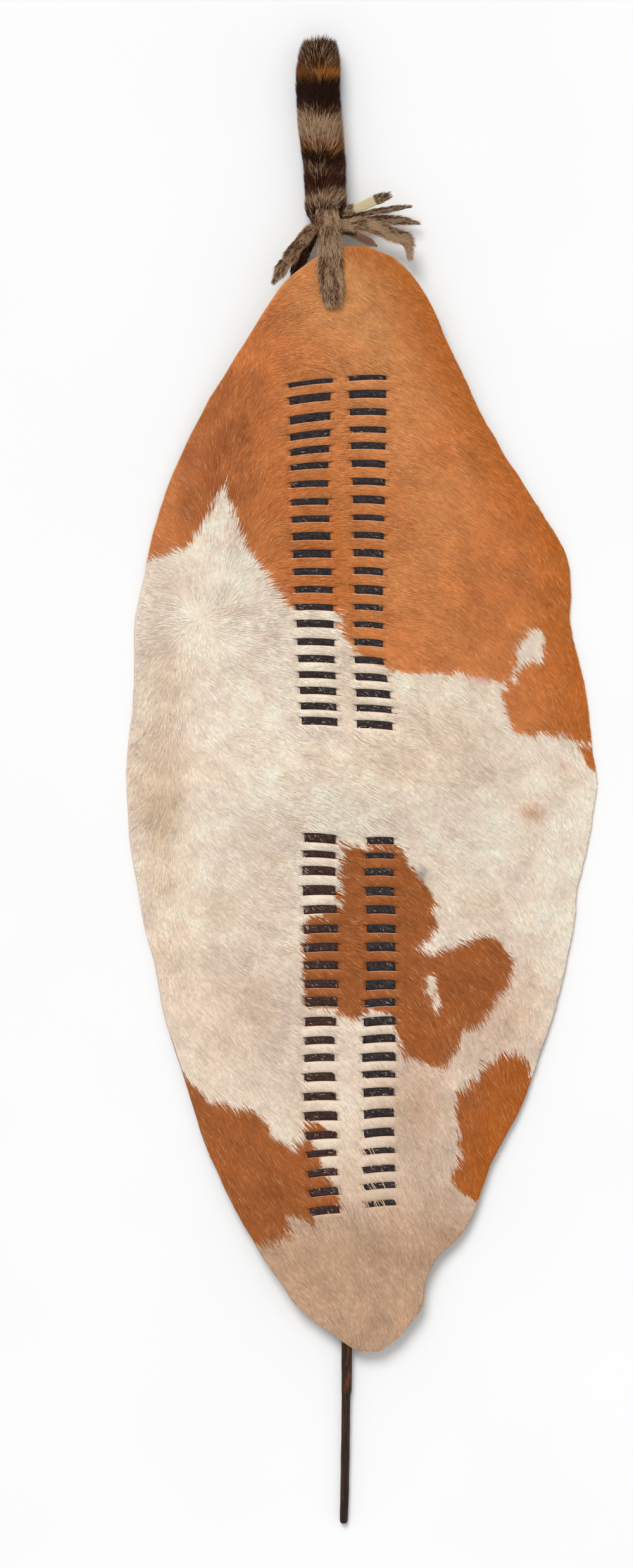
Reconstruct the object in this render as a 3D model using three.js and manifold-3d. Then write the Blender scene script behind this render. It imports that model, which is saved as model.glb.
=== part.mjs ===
// A cowhide war shield laid on its back, hair side up. Millimetres, +Z up, +Y towards the fur-wrapped
// head of the stick, +X to the right. The origin is under the middle of the whole, on the ground.
import * as THREE from 'three';
import * as BufferGeometryUtils from 'three/addons/utils/BufferGeometryUtils.js';
import Module from 'manifold-3d';

const wasm = await Module();
wasm.setup();

// ---- driving dimensions -------------------------------------------------------------------------

const GAP = 0.3; // clearance between pieces that touch

const HIDE_THICKNESS = 3.2;
const HIDE_ROWS = 48; // mesh rows along the hide, closer together at its two ends
// The hide's cut outline, from the top edge to the bottom: height along the shield, left edge, right edge
const HIDE_OUTLINE = [
  [706, -26, 3],
  [698, -50, 26],
  [691, -61, 42],
  [662, -98, 71],
  [624, -126, 93],
  [570, -160, 117],
  [503, -202, 149],
  [441, -234, 183],
  [387, -257, 218],
  [307, -280, 266],
  [266, -287, 273],
  [208, -298, 274],
  [127, -299, 293],
  [48, -307, 303],
  [4, -309, 309],
  [-77, -304, 297],
  [-130, -295, 284],
  [-181, -286, 279],
  [-230, -273, 269],
  [-303, -259, 252],
  [-370, -238, 227],
  [-425, -221, 208],
  [-483, -201, 177],
  [-527, -181, 159],
  [-570, -159, 143],
  [-596, -144, 126],
  [-622, -129, 98],
  [-655, -105, 83],
  [-685, -84, 78],
  [-706, -59, 64],
  [-725, -33, 48],
  [-736, -19, 34],
  [-744, -3, 22],
];
const HIDE_FLAT = [66, 77]; // the hide is level this far to the left and right of the stick
const END_MARGIN = 0.2; // at the narrow ends, the level part keeps this share of the width from each edge
const SIDE_DIVISIONS = 3; // mesh divisions from the level part to an edge
const EDGE_RISE = 80; // how much further the hide's curve reaches than its edge at the narrow ends

// The stick's axis, from its foot to its head: along the shield, across it, height, radius
const STICK = [
  [-972, -24, 4.76, 3.4],
  [-968, -24, 4.76, 5.0],
  [-930, -23, 5.4, 5.6],
  [-880, -22, 6.0, 5.6],
  [-804, -21, 7.6, 5.8],
  [-796, -20.5, 7.7, 6.7],
  [-700, -20, 8.9, 6.8],
  [-520, -22, 10.9, 7.0],
  [-300, -27, 13.2, 7.2],
  [0, -34, 16.2, 7.4],
  [300, -40, 19.3, 7.6],
  [560, -44, 21.9, 7.8],
  [740, -47, 23.6, 7.8],
  [900, -55, 24.4, 7.4],
];
const STICK_SIDES = 10;

const GRIP_CENTRE = 4; // the hand grip, where the hide stands off the stick
const GRIP_RISE = 18;
const GRIP_REACH = 72; // along the shield
const GRIP_SPREAD = 170; // across it, to each side of the level part

// Four columns of slits, each with a strip of dark hide woven through it. A column's cells are where the
// strip shows: first and last cell along the shield, the column's edges at its top and at its bottom,
// the length of a cell, and how far the cells lean at the top and at the bottom.
const LACING = [
  {
    name: 'lacing_upper_left', colour: 'lacing', cell: 10.6, y: [528, 83],
    top: [-96.3, -40.7], bottom: [-79.7, -32.4], lean: [0.1, -0.04],
  },
  {
    name: 'lacing_upper_right', colour: 'lacing', cell: 10.6, y: [533, 78],
    top: [-17.4, 31.5], bottom: [-7.5, 37.3], lean: [-0.04, -0.04],
  },
  {
    name: 'lacing_lower_left', colour: 'lacing_brown', cell: 12.2, y: [-70, -559],
    top: [-78, -34.9], bottom: [-69.7, -31.5], lean: [-0.04, 0.06],
  },
  {
    name: 'lacing_lower_right', colour: 'lacing', cell: 12.2, y: [-72, -548],
    top: [5, 41.5], bottom: [2.5, 44], lean: [0, 0.06],
  },
];
const CELLS = 21;
const SLIT = 2.6; // the strip rises and dives in a slit this wide at each side of a cell
const STRIP_THICKNESS = 2.2;
const STRIP_GAP = 0.5;
const STRIP_OFFSET = HIDE_THICKNESS / 2 + STRIP_GAP + STRIP_THICKNESS / 2; // from middle to middle
const STRIP_SIDE_GAP = 1.2;
const STRIP_TAIL = 15; // the end of a strip, tucked behind the hide
const SLIT_MARGIN = 0.3; // the strip keeps this far from both lips of a slit

// Rawhide ties that hold the stick to the back of the lacing, by their place along the shield
const TIES = [470, 150, -150, -500];
const TIE_WIDTH = 16;
const TIE_THICKNESS = 1.6;
const TIE_SLACK = 0.9; // how loosely a tie goes round the stick
const TIE_REACH = 34;

// The fur wound on the stick's head: along the shield, across it, half its width, half its height
const FUR_WRAP = [
  [972, -56, 12, 10],
  [967, -56, 19, 17],
  [950, -57, 26, 22],
  [925, -58, 28.5, 24],
  [890, -57, 29, 24.4],
  [850, -54, 29, 24.4],
  [810, -50, 27.5, 24],
  [776, -48, 26, 22],
  [760, -48, 27, 21.5],
  [744, -47.5, 24, 19],
  [739, -47, 21, 16],
];
const FUR_SIDES = 16;
const FUR_REST = 24.4 * Math.cos(Math.PI / FUR_SIDES); // height of the wrap's middle
const BORE_END = 905; // how far up the wrap the stick reaches

// Strips of fur hanging from the wrap: route (across, along, height), then width and thickness
const FUR_STRIPS = {
  fur_strip_front: {
    width: 34, thickness: 4,
    route: [[-45, 737, 42.2], [-43, 705, 42.4], [-41, 665, 42.2], [-39, 630, 41.6]],
  },
  fur_strip_right_top: {
    width: 11, thickness: 3.6,
    route: [[-18, 753, 30], [-3, 758, 30], [14, 766, 29], [35, 772, 27]],
  },
  fur_strip_right_thin: {
    width: 7, thickness: 3.2,
    route: [[-19, 746, 25], [-3, 748, 25], [25, 754, 24], [62, 759, 21]],
  },
  fur_strip_right_curl: {
    width: 9, thickness: 3.4,
    route: [[-22, 739, 20], [-4, 740, 19.5], [34, 743, 18], [71, 738, 15]],
  },
  fur_strip_right_long: {
    width: 13, thickness: 4,
    route: [[-23, 735, 36], [3, 733, 36], [35, 724, 35], [57, 714, 33], [61, 696, 31]],
  },
  fur_strip_right_short: {
    width: 12, thickness: 3.6,
    route: [[-28, 732, 15], [-14, 727, 15], [2, 718, 15], [20, 708, 14]],
  },
  fur_strip_left_long: {
    width: 18, thickness: 4,
    route: [[-66, 728, 36], [-80, 712, 37], [-98, 688, 36], [-115, 662, 34]],
  },
  fur_strip_left_grey: {
    width: 14, thickness: 3.6,
    route: [[-68, 731, 26], [-77, 719, 25], [-86, 704, 21], [-92, 690, 16]],
  },
  fur_strip_back: {
    width: 18, thickness: 3.6,
    route: [[-62, 731, 14], [-71, 712, 12], [-82, 688, 9], [-90, 662, 6]],
  },
};

const COLOURS = {
  coat: { color: 0xc0773e, roughness: 0.75, metalness: 0 },
  lacing: { color: 0x2b2224, roughness: 0.7, metalness: 0 },
  lacing_brown: { color: 0x3b2522, roughness: 0.7, metalness: 0 },
  stick: { color: 0x2a1a12, roughness: 0.6, metalness: 0 },
  rawhide: { color: 0xb79a72, roughness: 0.8, metalness: 0 },
  fur: { color: 0x5a3322, roughness: 0.9, metalness: 0 },
};

// ---- curves through the tables ------------------------------------------------------------------

/** A smooth curve through table rows in order of their first column, as a function of that column. */
function curveThrough(rows, column) {
  const sorted = [...rows].sort((a, b) => a[0] - b[0]);
  const slope = (i) => {
    const before = sorted[Math.max(i - 1, 0)];
    const after = sorted[Math.min(i + 1, sorted.length - 1)];
    return (after[column] - before[column]) / (after[0] - before[0]);
  };
  return (at) => {
    const t = THREE.MathUtils.clamp(at, sorted[0][0], sorted.at(-1)[0]);
    const i = Math.max(sorted.findIndex((row) => row[0] >= t) - 1, 0);
    const [from, to] = [sorted[i], sorted[i + 1]];
    const span = to[0] - from[0];
    const s = (t - from[0]) / span;
    const [s2, s3] = [s * s, s * s * s];
    return from[column] * (2 * s3 - 3 * s2 + 1) + to[column] * (3 * s2 - 2 * s3)
      + span * (slope(i) * (s3 - 2 * s2 + s) + slope(i + 1) * (s3 - s2));
  };
}

const hideLeft = curveThrough(HIDE_OUTLINE, 1);
const hideRight = curveThrough(HIDE_OUTLINE, 2);
const stickX = curveThrough(STICK, 1);
const stickZ = curveThrough(STICK, 2);
const stickRadius = curveThrough(STICK, 3);

const [HIDE_TOP, HIDE_BOTTOM] = [HIDE_OUTLINE[0][0], HIDE_OUTLINE.at(-1)[0]];
const hideRows = Array.from({ length: HIDE_ROWS + 1 }, (_, row) => (
  THREE.MathUtils.lerp(HIDE_BOTTOM, HIDE_TOP, 0.5 - 0.5 * Math.cos((Math.PI * row) / HIDE_ROWS))));

/** A function of the place along the hide, made straight between two mesh rows as the mesh is. */
function onRows(curve) {
  return (y) => {
    const row = THREE.MathUtils.clamp(hideRows.findIndex((at) => at >= y), 1, HIDE_ROWS);
    const [before, after] = [hideRows[row - 1], hideRows[row]];
    return THREE.MathUtils.mapLinear(y, before, after, curve(before), curve(after));
  };
}

/** Height of the hide's middle where it rests on the stick and the lacing. */
const restHeight = onRows((y) => stickZ(y) + stickRadius(y) + STRIP_OFFSET + STRIP_THICKNESS / 2 + GAP);

/** How much higher it stands at the hand grip. */
const gripHeight = onRows((y) => GRIP_RISE * Math.exp(-(((y - GRIP_CENTRE) / GRIP_REACH) ** 2)));

/** Height of the hide's middle over the level part. */
const ridgeHeight = (y) => restHeight(y) + gripHeight(y);

/** Height of the hide's middle: level over the stick and the lacing, then a parabola down to the edges. */
function hideHeight(x, y) {
  const across = x - stickX(y);
  const [edge, flat] = across < 0 ? [hideLeft, HIDE_FLAT[0]] : [hideRight, HIDE_FLAT[1]];
  const half = Math.abs(edge(y) - stickX(y));
  const widest = Math.abs(edge(GRIP_CENTRE) - stickX(GRIP_CENTRE));
  const reach = half + EDGE_RISE * (1 - half / widest);
  const beyond = Math.max(Math.abs(across) - flat, 0);
  const fall = (beyond / (reach - flat)) ** 2;
  const spread = (1 - Math.min(beyond / GRIP_SPREAD, 1) ** 2) ** 2;
  return THREE.MathUtils.lerp(restHeight(y), HIDE_THICKNESS / 2, fall) + gripHeight(y) * spread;
}

// ---- solids from rings --------------------------------------------------------------------------

/** A closed solid through rings of points that turn anticlockwise as seen from the last ring. */
function loft(rings) {
  const count = rings[0].length;
  const index = [];
  for (let r = 0; r < rings.length - 1; r += 1) {
    for (let i = 0; i < count; i += 1) {
      const [a, b] = [r * count + i, r * count + ((i + 1) % count)];
      index.push(a, b, a + count, b, b + count, a + count);
    }
  }
  const last = (rings.length - 1) * count;
  for (let i = 1; i < count - 1; i += 1) {
    index.push(0, i + 1, i);
    index.push(last, last + i, last + i + 1);
  }
  const geometry = new THREE.BufferGeometry();
  geometry.setAttribute('position', new THREE.Float32BufferAttribute(rings.flat(2), 3));
  geometry.setIndex(index);
  return geometry;
}

/** A three.js geometry as a manifold solid. */
function toSolid(geometry) {
  const bare = new THREE.BufferGeometry();
  bare.setAttribute('position', geometry.getAttribute('position'));
  bare.setIndex(geometry.getIndex());
  const merged = BufferGeometryUtils.mergeVertices(bare, 1e-4);
  const vertProperties = new Float32Array(merged.getAttribute('position').array);
  const triVerts = new Uint32Array(merged.getIndex().array);
  return new wasm.Manifold(new wasm.Mesh({ numProp: 3, vertProperties, triVerts }));
}

/** A manifold solid as a three.js geometry. */
function toGeometry(solid) {
  const mesh = solid.getMesh();
  const geometry = new THREE.BufferGeometry();
  geometry.setAttribute('position', new THREE.BufferAttribute(new Float32Array(mesh.vertProperties), 3));
  geometry.setIndex(new THREE.BufferAttribute(new Uint32Array(mesh.triVerts), 1));
  return geometry;
}

/** A ring round the stick's direction: an ellipse of the given half sizes, with a flat side down. */
function ellipse(y, x, z, halfWidth, halfHeight, sides) {
  return Array.from({ length: sides }, (_, i) => {
    const angle = -Math.PI / 2 - (2 * Math.PI * (i + 0.5)) / sides;
    return [x + halfWidth * Math.cos(angle), y, z + halfHeight * Math.sin(angle)];
  });
}

// ---- the hide -----------------------------------------------------------------------------------

/** Where the mesh has its vertices across the hide: the level part, and steps from it to both edges. */
function hideDivisions(y) {
  const [left, right] = [hideLeft(y), hideRight(y)];
  const margin = END_MARGIN * (right - left);
  const flatLeft = Math.max(stickX(y) - HIDE_FLAT[0], left + margin);
  const flatRight = Math.min(stickX(y) + HIDE_FLAT[1], right - margin);
  const steps = Array.from({ length: SIDE_DIVISIONS + 1 }, (_, i) => i / SIDE_DIVISIONS);
  return [
    ...steps.map((t) => THREE.MathUtils.lerp(left, flatLeft, t)),
    ...steps.map((t) => THREE.MathUtils.lerp(flatRight, right, t)),
  ];
}

/** The whole hide before its slits are cut: two sheets of one grid, a thickness apart. */
function hideSheet() {
  return loft(hideRows.map((y) => {
    const middle = hideDivisions(y).map((x) => [x, y, hideHeight(x, y)]);
    const face = middle.map(([x, , z]) => [x, y, z + HIDE_THICKNESS / 2]);
    const back = middle.map(([x, , z]) => [x, y, z - HIDE_THICKNESS / 2]);
    return [...face, ...back.reverse()];
  }));
}

/** A column's left or right edge at a place along the shield. */
function columnEdge(column, side, y) {
  const [first, last] = column.y;
  return THREE.MathUtils.lerp(column.top[side], column.bottom[side], (first - y) / (first - last));
}

/** How far a line across the column is shifted along the shield at x, because the cells lean. */
function leanAt(column, x, y) {
  const [first, last] = column.y;
  const lean = THREE.MathUtils.lerp(column.lean[0], column.lean[1], (first - y) / (first - last));
  return lean * (x - (columnEdge(column, 0, y) + columnEdge(column, 1, y)) / 2);
}

/** A four-sided ring across a column at a place along it: its edges moved in, its middle at an offset. */
function acrossColumn(column, y, inset, offset, thickness) {
  const ends = [columnEdge(column, 0, y) + inset, columnEdge(column, 1, y) - inset];
  const [left, right] = ends.map((x) => [x, y + leanAt(column, x, y), ridgeHeight(y + leanAt(column, x, y))]);
  return [
    [left[0], left[1], left[2] + offset + thickness / 2],
    [right[0], right[1], right[2] + offset + thickness / 2],
    [right[0], right[1], right[2] + offset - thickness / 2],
    [left[0], left[1], left[2] + offset - thickness / 2],
  ];
}

/** The middle of each cell of a column, from the top one down. */
function cellCentres({ y: [first, last] }) {
  return Array.from({ length: CELLS }, (_, i) => THREE.MathUtils.lerp(first, last, i / (CELLS - 1)));
}

/** The hide with a slit at the upper and the lower side of every cell. */
function hideSolid() {
  const slits = LACING.flatMap((column) => cellCentres(column).flatMap((y) => {
    const half = column.cell / 2;
    return [[y + half - SLIT, y + half], [y - half, y - half + SLIT]].map((sides) => (
      toSolid(loft(sides.map((side) => acrossColumn(column, side, 0, 0, 10 * HIDE_THICKNESS))))));
  }));
  return toSolid(hideSheet()).subtract(wasm.Manifold.union(slits));
}

// ---- the lacing ---------------------------------------------------------------------------------

/** One strip: over the hide in each cell, behind it between two cells, its ends tucked behind. */
function lacingStrip(column) {
  const behind = column.cell / 2 - SLIT_MARGIN;
  const over = column.cell / 2 - SLIT + SLIT_MARGIN;
  const stations = cellCentres(column).flatMap((y) => [
    [y + behind, -STRIP_OFFSET],
    [y + over, STRIP_OFFSET],
    [y - over, STRIP_OFFSET],
    [y - behind, -STRIP_OFFSET],
  ]);
  const tails = [stations[0][0] + STRIP_TAIL, stations.at(-1)[0] - STRIP_TAIL];
  const route = [[tails[0], -STRIP_OFFSET], ...stations, [tails[1], -STRIP_OFFSET]].reverse();
  return loft(route.map(([y, offset]) => acrossColumn(column, y, STRIP_SIDE_GAP, offset, STRIP_THICKNESS)));
}

// ---- the stick, its ties and its fur ------------------------------------------------------------

/** The tapered stick, as rings along its axis. */
function stick() {
  return loft(STICK.map(([y, x, z, radius]) => ellipse(y, x, z, radius, radius, STICK_SIDES)));
}

/** A tie: flat behind the bars at both sides, and down round the stick between them. */
function tie(y) {
  const [x, z, radius] = [stickX(y), stickZ(y), stickRadius(y)];
  const round = radius + TIE_SLACK + TIE_THICKNESS / 2;
  const flat = ridgeHeight(y) - STRIP_OFFSET - STRIP_THICKNESS / 2 - GAP - TIE_THICKNESS;
  const arc = [-60, -30, 0, 30, 60].map((degrees) => {
    const angle = THREE.MathUtils.degToRad(degrees);
    return [round * Math.sin(angle), z - round * Math.cos(angle)];
  });
  const route = [[-TIE_REACH, flat], [-round - 6, flat], ...arc, [round + 6, flat], [TIE_REACH, flat]];
  const rings = route.map(([across, height], i) => {
    const [before, after] = [route[Math.max(i - 1, 0)], route[Math.min(i + 1, route.length - 1)]];
    const along = new THREE.Vector2(after[0] - before[0], after[1] - before[1]).normalize();
    const [dx, dz] = [(-along.y * TIE_THICKNESS) / 2, (along.x * TIE_THICKNESS) / 2];
    return [
      [x + across + dx, y + TIE_WIDTH / 2, height + dz],
      [x + across + dx, y - TIE_WIDTH / 2, height + dz],
      [x + across - dx, y - TIE_WIDTH / 2, height - dz],
      [x + across - dx, y + TIE_WIDTH / 2, height - dz],
    ];
  });
  return loft(rings);
}

/** The fur wound on the stick's head, with the stick's place left open in it. */
function furWrap() {
  const ringAt = ([y, x, halfWidth, halfHeight]) => ellipse(y, x, FUR_REST, halfWidth, halfHeight, FUR_SIDES);
  const outside = toSolid(loft([...FUR_WRAP].reverse().map(ringAt)));
  const bore = [720, 740, 800, 860, BORE_END].map((y) => {
    const radius = stickRadius(y) + 2.5 * GAP;
    return ellipse(y, stickX(y), stickZ(y), radius, radius, STICK_SIDES);
  });
  return toGeometry(outside.subtract(toSolid(loft(bore))));
}

/** A flat strip of fur along its route, tapering at its free end. */
function furStrip({ route, width, thickness }) {
  const curve = new THREE.CatmullRomCurve3(route.map((point) => new THREE.Vector3(...point)));
  const steps = 8;
  const rings = Array.from({ length: steps + 1 }, (_, i) => {
    const t = i / steps;
    const at = curve.getPoint(t);
    const along = curve.getTangent(t).setZ(0).normalize();
    const half = (width / 2) * (1 - 0.6 * t ** 4) * Math.min(1, 0.55 + 2 * t);
    const side = new THREE.Vector3(along.y, -along.x, 0).multiplyScalar(half);
    const [left, right] = [at.clone().sub(side), at.clone().add(side)];
    return [
      [left.x, left.y, left.z + thickness / 2],
      [right.x, right.y, right.z + thickness / 2],
      [right.x, right.y, right.z - thickness / 2],
      [left.x, left.y, left.z - thickness / 2],
    ];
  });
  return loft(rings);
}

// ---- the shield ---------------------------------------------------------------------------------

const shield = new THREE.Group();

/** Adds a named piece to the shield. */
function add(name, geometry, colour) {
  const mesh = new THREE.Mesh(geometry, new THREE.MeshStandardMaterial(COLOURS[colour]));
  mesh.name = name;
  shield.add(mesh);
}

add('shield_hide', toGeometry(hideSolid()), 'coat');
LACING.forEach((column) => add(column.name, lacingStrip(column), column.colour));
add('stick', stick(), 'stick');
TIES.forEach((y, i) => add(`stick_tie_${i + 1}`, tie(y), 'rawhide'));
add('fur_wrap', furWrap(), 'fur');
Object.entries(FUR_STRIPS).forEach(([name, strip]) => add(name, furStrip(strip), 'fur'));

export default shield;
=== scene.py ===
"""A cowhide war shield lying on its back, hair side up: the hide with its two pairs of lacing columns,
the stick behind it, the rawhide ties, and the fur wound on the stick's head with its hanging strips.

Tables are in millimetres, with x across the shield, y along it towards the fur and z up; meshes are made
in metres."""

import math

import bpy
import numpy as np
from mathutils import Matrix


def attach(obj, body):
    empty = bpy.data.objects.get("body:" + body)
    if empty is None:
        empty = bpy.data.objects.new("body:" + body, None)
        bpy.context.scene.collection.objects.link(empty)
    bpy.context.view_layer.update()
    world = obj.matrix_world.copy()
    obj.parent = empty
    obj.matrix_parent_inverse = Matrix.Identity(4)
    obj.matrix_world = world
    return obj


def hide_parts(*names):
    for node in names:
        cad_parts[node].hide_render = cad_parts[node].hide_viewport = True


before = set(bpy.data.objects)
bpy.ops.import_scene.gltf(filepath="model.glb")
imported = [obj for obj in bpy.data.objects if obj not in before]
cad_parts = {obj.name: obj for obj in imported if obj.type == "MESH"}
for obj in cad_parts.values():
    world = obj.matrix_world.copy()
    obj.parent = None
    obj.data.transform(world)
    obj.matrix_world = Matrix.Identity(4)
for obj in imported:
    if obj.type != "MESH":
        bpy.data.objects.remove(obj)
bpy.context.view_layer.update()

MM = 0.001
SEED = 4100

# ---- tables of the shield ------------------------------------------------------------------------

# The hide's cut outline: y, left x, right x
HIDE_OUTLINE = [
    (706, -26, 3), (698, -50, 26), (691, -61, 42), (662, -98, 71), (624, -126, 93), (570, -160, 117),
    (503, -202, 149), (441, -234, 183), (387, -257, 218), (307, -280, 266), (266, -287, 273),
    (208, -298, 274), (127, -299, 293), (48, -307, 303), (4, -309, 309), (-77, -304, 297),
    (-130, -295, 284), (-181, -286, 279), (-230, -273, 269), (-303, -259, 252), (-370, -238, 227),
    (-425, -221, 208), (-483, -201, 177), (-527, -181, 159), (-570, -159, 143), (-596, -144, 126),
    (-622, -129, 98), (-655, -105, 83), (-685, -84, 78), (-706, -59, 64), (-725, -33, 48),
    (-736, -19, 34), (-744, -3, 22),
]
HIDE_TOP = HIDE_OUTLINE[0][0]
HIDE_BOTTOM = HIDE_OUTLINE[-1][0]
HIDE_THICKNESS = 3.2
# The hide lies level this far left and right of the stick, then falls to its edges; where it is narrow
# its edges stay up, as if the fall went on for EDGE_RISE more
HIDE_FLAT = (66, 77)
EDGE_RISE = 80
# The hand grip: the hide's rise off the stick, where it is, and how far it reaches along and across
GRIP_CENTRE, GRIP_RISE, GRIP_REACH, GRIP_SPREAD = 4, 18, 72, 170

# The stick: y, x, z, radius
STICK = [
    (-972, -24, 4.76, 3.4), (-968, -24, 4.76, 5.0), (-930, -23, 5.4, 5.6), (-880, -22, 6.0, 5.6),
    (-804, -21, 7.6, 5.8), (-796, -20.5, 7.7, 6.7), (-700, -20, 8.9, 6.8), (-520, -22, 10.9, 7.0),
    (-300, -27, 13.2, 7.2), (0, -34, 16.2, 7.4), (300, -40, 19.3, 7.6), (560, -44, 21.9, 7.8),
    (740, -47, 23.6, 7.8), (900, -55, 24.4, 7.4),
]
HIDE_ABOVE_STICK = 4.6  # from the stick's top to the middle of the hide

# Lacing columns: the middle and the length of every cell, then by cell number the left and right edge and
# how much the cells rise across the column
CELLS = 21
UPPER_LEFT = dict(
    y=[527.3, 506.5, 481, 458.9, 438.6, 417.9, 394.5, 371.1, 348.5, 326, 303, 279.5, 256, 232.9, 211.2,
       187.3, 165.2, 144, 123.3, 102.8, 83.3],
    cell=[7, 11.6, 12, 10.4, 10.4, 9.3, 9.4, 9.4, 9.3, 11.3, 11.6, 10, 9.6, 9, 10.6, 9.8, 10.2, 9.6, 10.4,
          10, 11],
    edges=[(0, -97, -38.6), (1, -95.5, -41.5), (3, -94.5, -42), (6, -93.5, -45), (8, -92, -43),
           (10, -90.4, -40.5), (15, -85, -36.5), (20, -79.7, -32.4)],
    lean=[(0, 0.12), (4, 0.11), (6, 0.04), (10, 0.01), (13, -0.02), (20, -0.04)])
UPPER_RIGHT = dict(
    y=[533.7, 512.3, 489, 465.6, 444.5, 421, 397.5, 373.8, 350.2, 327, 303.8, 280.3, 255.6, 232.8, 209.7,
       186.5, 163.1, 140.9, 119.7, 99.8, 78.6],
    cell=[7.3, 11.4, 9.8, 8.8, 9.8, 10.4, 10.2, 11.4, 8.4, 9.3, 11, 10.2, 12.6, 8.4, 8.4, 10, 9.8, 10.4, 11,
          9.6, 11.2],
    edges=[(0, -17.7, 31.5), (3, -15.7, 31), (6, -12.8, 29.9), (10, -11, 28), (14, -10.2, 27),
           (16, -10, 28.5), (18, -8, 37), (20, -7, 39.5)],
    lean=[(0, 0.03), (2, 0), (6, -0.03), (12, -0.06), (20, -0.06)])
LOWER_LEFT = dict(
    y=[-70.1, -91.3, -112.9, -138.4, -163.6, -189.2, -213.5, -237, -261.5, -284.7, -310.6, -335.5, -358.1,
       -383.6, -409.1, -434.9, -460.1, -484.1, -509.4, -534.7, -558.8],
    cell=[12.9, 9.6, 12.4, 13.6, 11.7, 12, 12.3, 12, 12, 13.6, 12.4, 10.7, 10.5, 12, 11.2, 12.7, 11, 9.5,
          10.5, 11.7, 11.6],
    edges=[(0, -76.2, -34.4), (2, -78.6, -35), (5, -76.2, -32.4), (7, -76, -31.6), (9, -74.4, -32.6),
           (12, -76.2, -36.6), (15, -76, -32.5), (17, -72.2, -33.5), (20, -68.2, -29.4)],
    lean=[(0, -0.07), (2, -0.03), (4, 0.03), (6, 0.04), (8, 0), (12, 0.04), (15, 0.03), (17, 0.1),
          (20, 0.11)])
LOWER_RIGHT = dict(
    y=[-73.3, -93.1, -114.5, -139.7, -163.8, -188.9, -212.8, -238.1, -262.7, -286, -310.4, -333.2, -357.3,
       -380, -403.3, -431.3, -456.5, -480.7, -504.3, -526.6, -549.6],
    cell=[10.3, 8.2, 10.7, 12.7, 12.1, 12.2, 13, 13.8, 13.8, 11.4, 12.1, 11.1, 12, 10, 12, 12.2, 11.7, 8.4,
          9.8, 8.8, 8.4],
    edges=[(0, 6, 41.6), (2, 3.5, 40.8), (4, 5.6, 43), (7, 5.4, 43.6), (9, 3.2, 43.2), (12, -0.2, 44),
           (15, 2.3, 41.6), (18, 0.9, 43.2), (20, 4.6, 44)],
    lean=[(0, 0), (4, -0.01), (8, 0.03), (10, 0.07), (13, 0.03), (15, 0.07), (20, 0.09)])
COLUMNS = dict(upper_left=UPPER_LEFT, upper_right=UPPER_RIGHT, lower_left=LOWER_LEFT,
               lower_right=LOWER_RIGHT)
SLIT_OVERRUN = 7  # how far the slits run on beside the strip
CELL_ARCH, ARCH_DROP = 0.9, 0.5  # the cells arch up between their ends, which sit a little low
BAR_LIP, BAR_CREST, CELL_DIP = 0.7, 1.9, -2.5  # heights over the hide of a bar's edge, its crest, a cell
PLAIN_PITCH = 24  # pitch of the cells past the last one
BAR_END, BAR_FADE = 26, 10  # where the hide past the last cell comes level, and over what length

# Brown patches of the coat, as outlines
BROWN_PATCHES = [
    [(-420, 290), (-284, 291), (-255, 300), (-226, 308), (-205, 345), (-183, 386), (-168, 345), (-151, 300),
     (-130, 275), (-110, 242), (-93, 229), (-60, 234), (-40, 232), (-35, 208), (-22, 186), (-10, 171),
     (27, 154), (57, 150), (86, 152), (115, 150), (130, 153), (150, 146), (170, 139), (194, 139),
     (199, 185), (220, 210), (234, 208), (232, 168), (206, 162), (199, 150), (188, 138), (177, 127),
     (188, 91), (194, 77), (214, 70), (235, 71), (266, 71), (281, 62), (299, 60), (420, 60), (420, 820),
     (-420, 820)],
    [(286, 52), (330, 54), (330, 18), (296, 22), (290, 36)],
    [(-22, -78), (52, -78), (52, -91), (69, -117), (81, -129), (98, -149), (89, -164), (96, -181),
     (77, -201), (67, -210), (92, -216), (118, -207), (139, -198), (164, -193), (182, -207), (193, -233),
     (191, -257), (170, -282), (159, -300), (150, -315), (133, -312), (118, -341), (106, -367),
     (86, -364), (60, -355), (48, -344), (42, -324), (40, -300), (4, -294), (-12, -306), (-30, -296),
     (-60, -293), (-79, -288), (-80, -176), (-60, -170), (-36, -166), (-33, -120), (-27, -66)],
    [(193, -347), (214, -353), (216, -370), (219, -384), (320, -386), (320, -545), (149, -545),
     (124, -527), (115, -510), (124, -481), (124, -448), (117, -419), (121, -396), (147, -382),
     (156, -361)],
    [(-340, -372), (-234, -379), (-215, -399), (-203, -411), (-189, -408), (-172, -417), (-149, -419),
     (-131, -437), (-120, -457), (-99, -471), (-84, -457), (-76, -440), (-56, -444),
     (-46, -453), (-67, -466), (-60, -482), (-53, -496), (-58, -502), (-42, -520), (-28, -546),
     (-42, -556), (-66, -564), (-71, -579), (-81, -559), (-87, -564), (-104, -557), (-98, -581),
     (-113, -590), (-129, -598), (-220, -620), (-340, -600)],
]
CREAM_FLECKS = [
    [(80, -248), (88, -246), (92, -262), (86, -274), (79, -262)],
    [(88, -272), (95, -270), (99, -284), (94, -292), (88, -284)],
]

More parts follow.
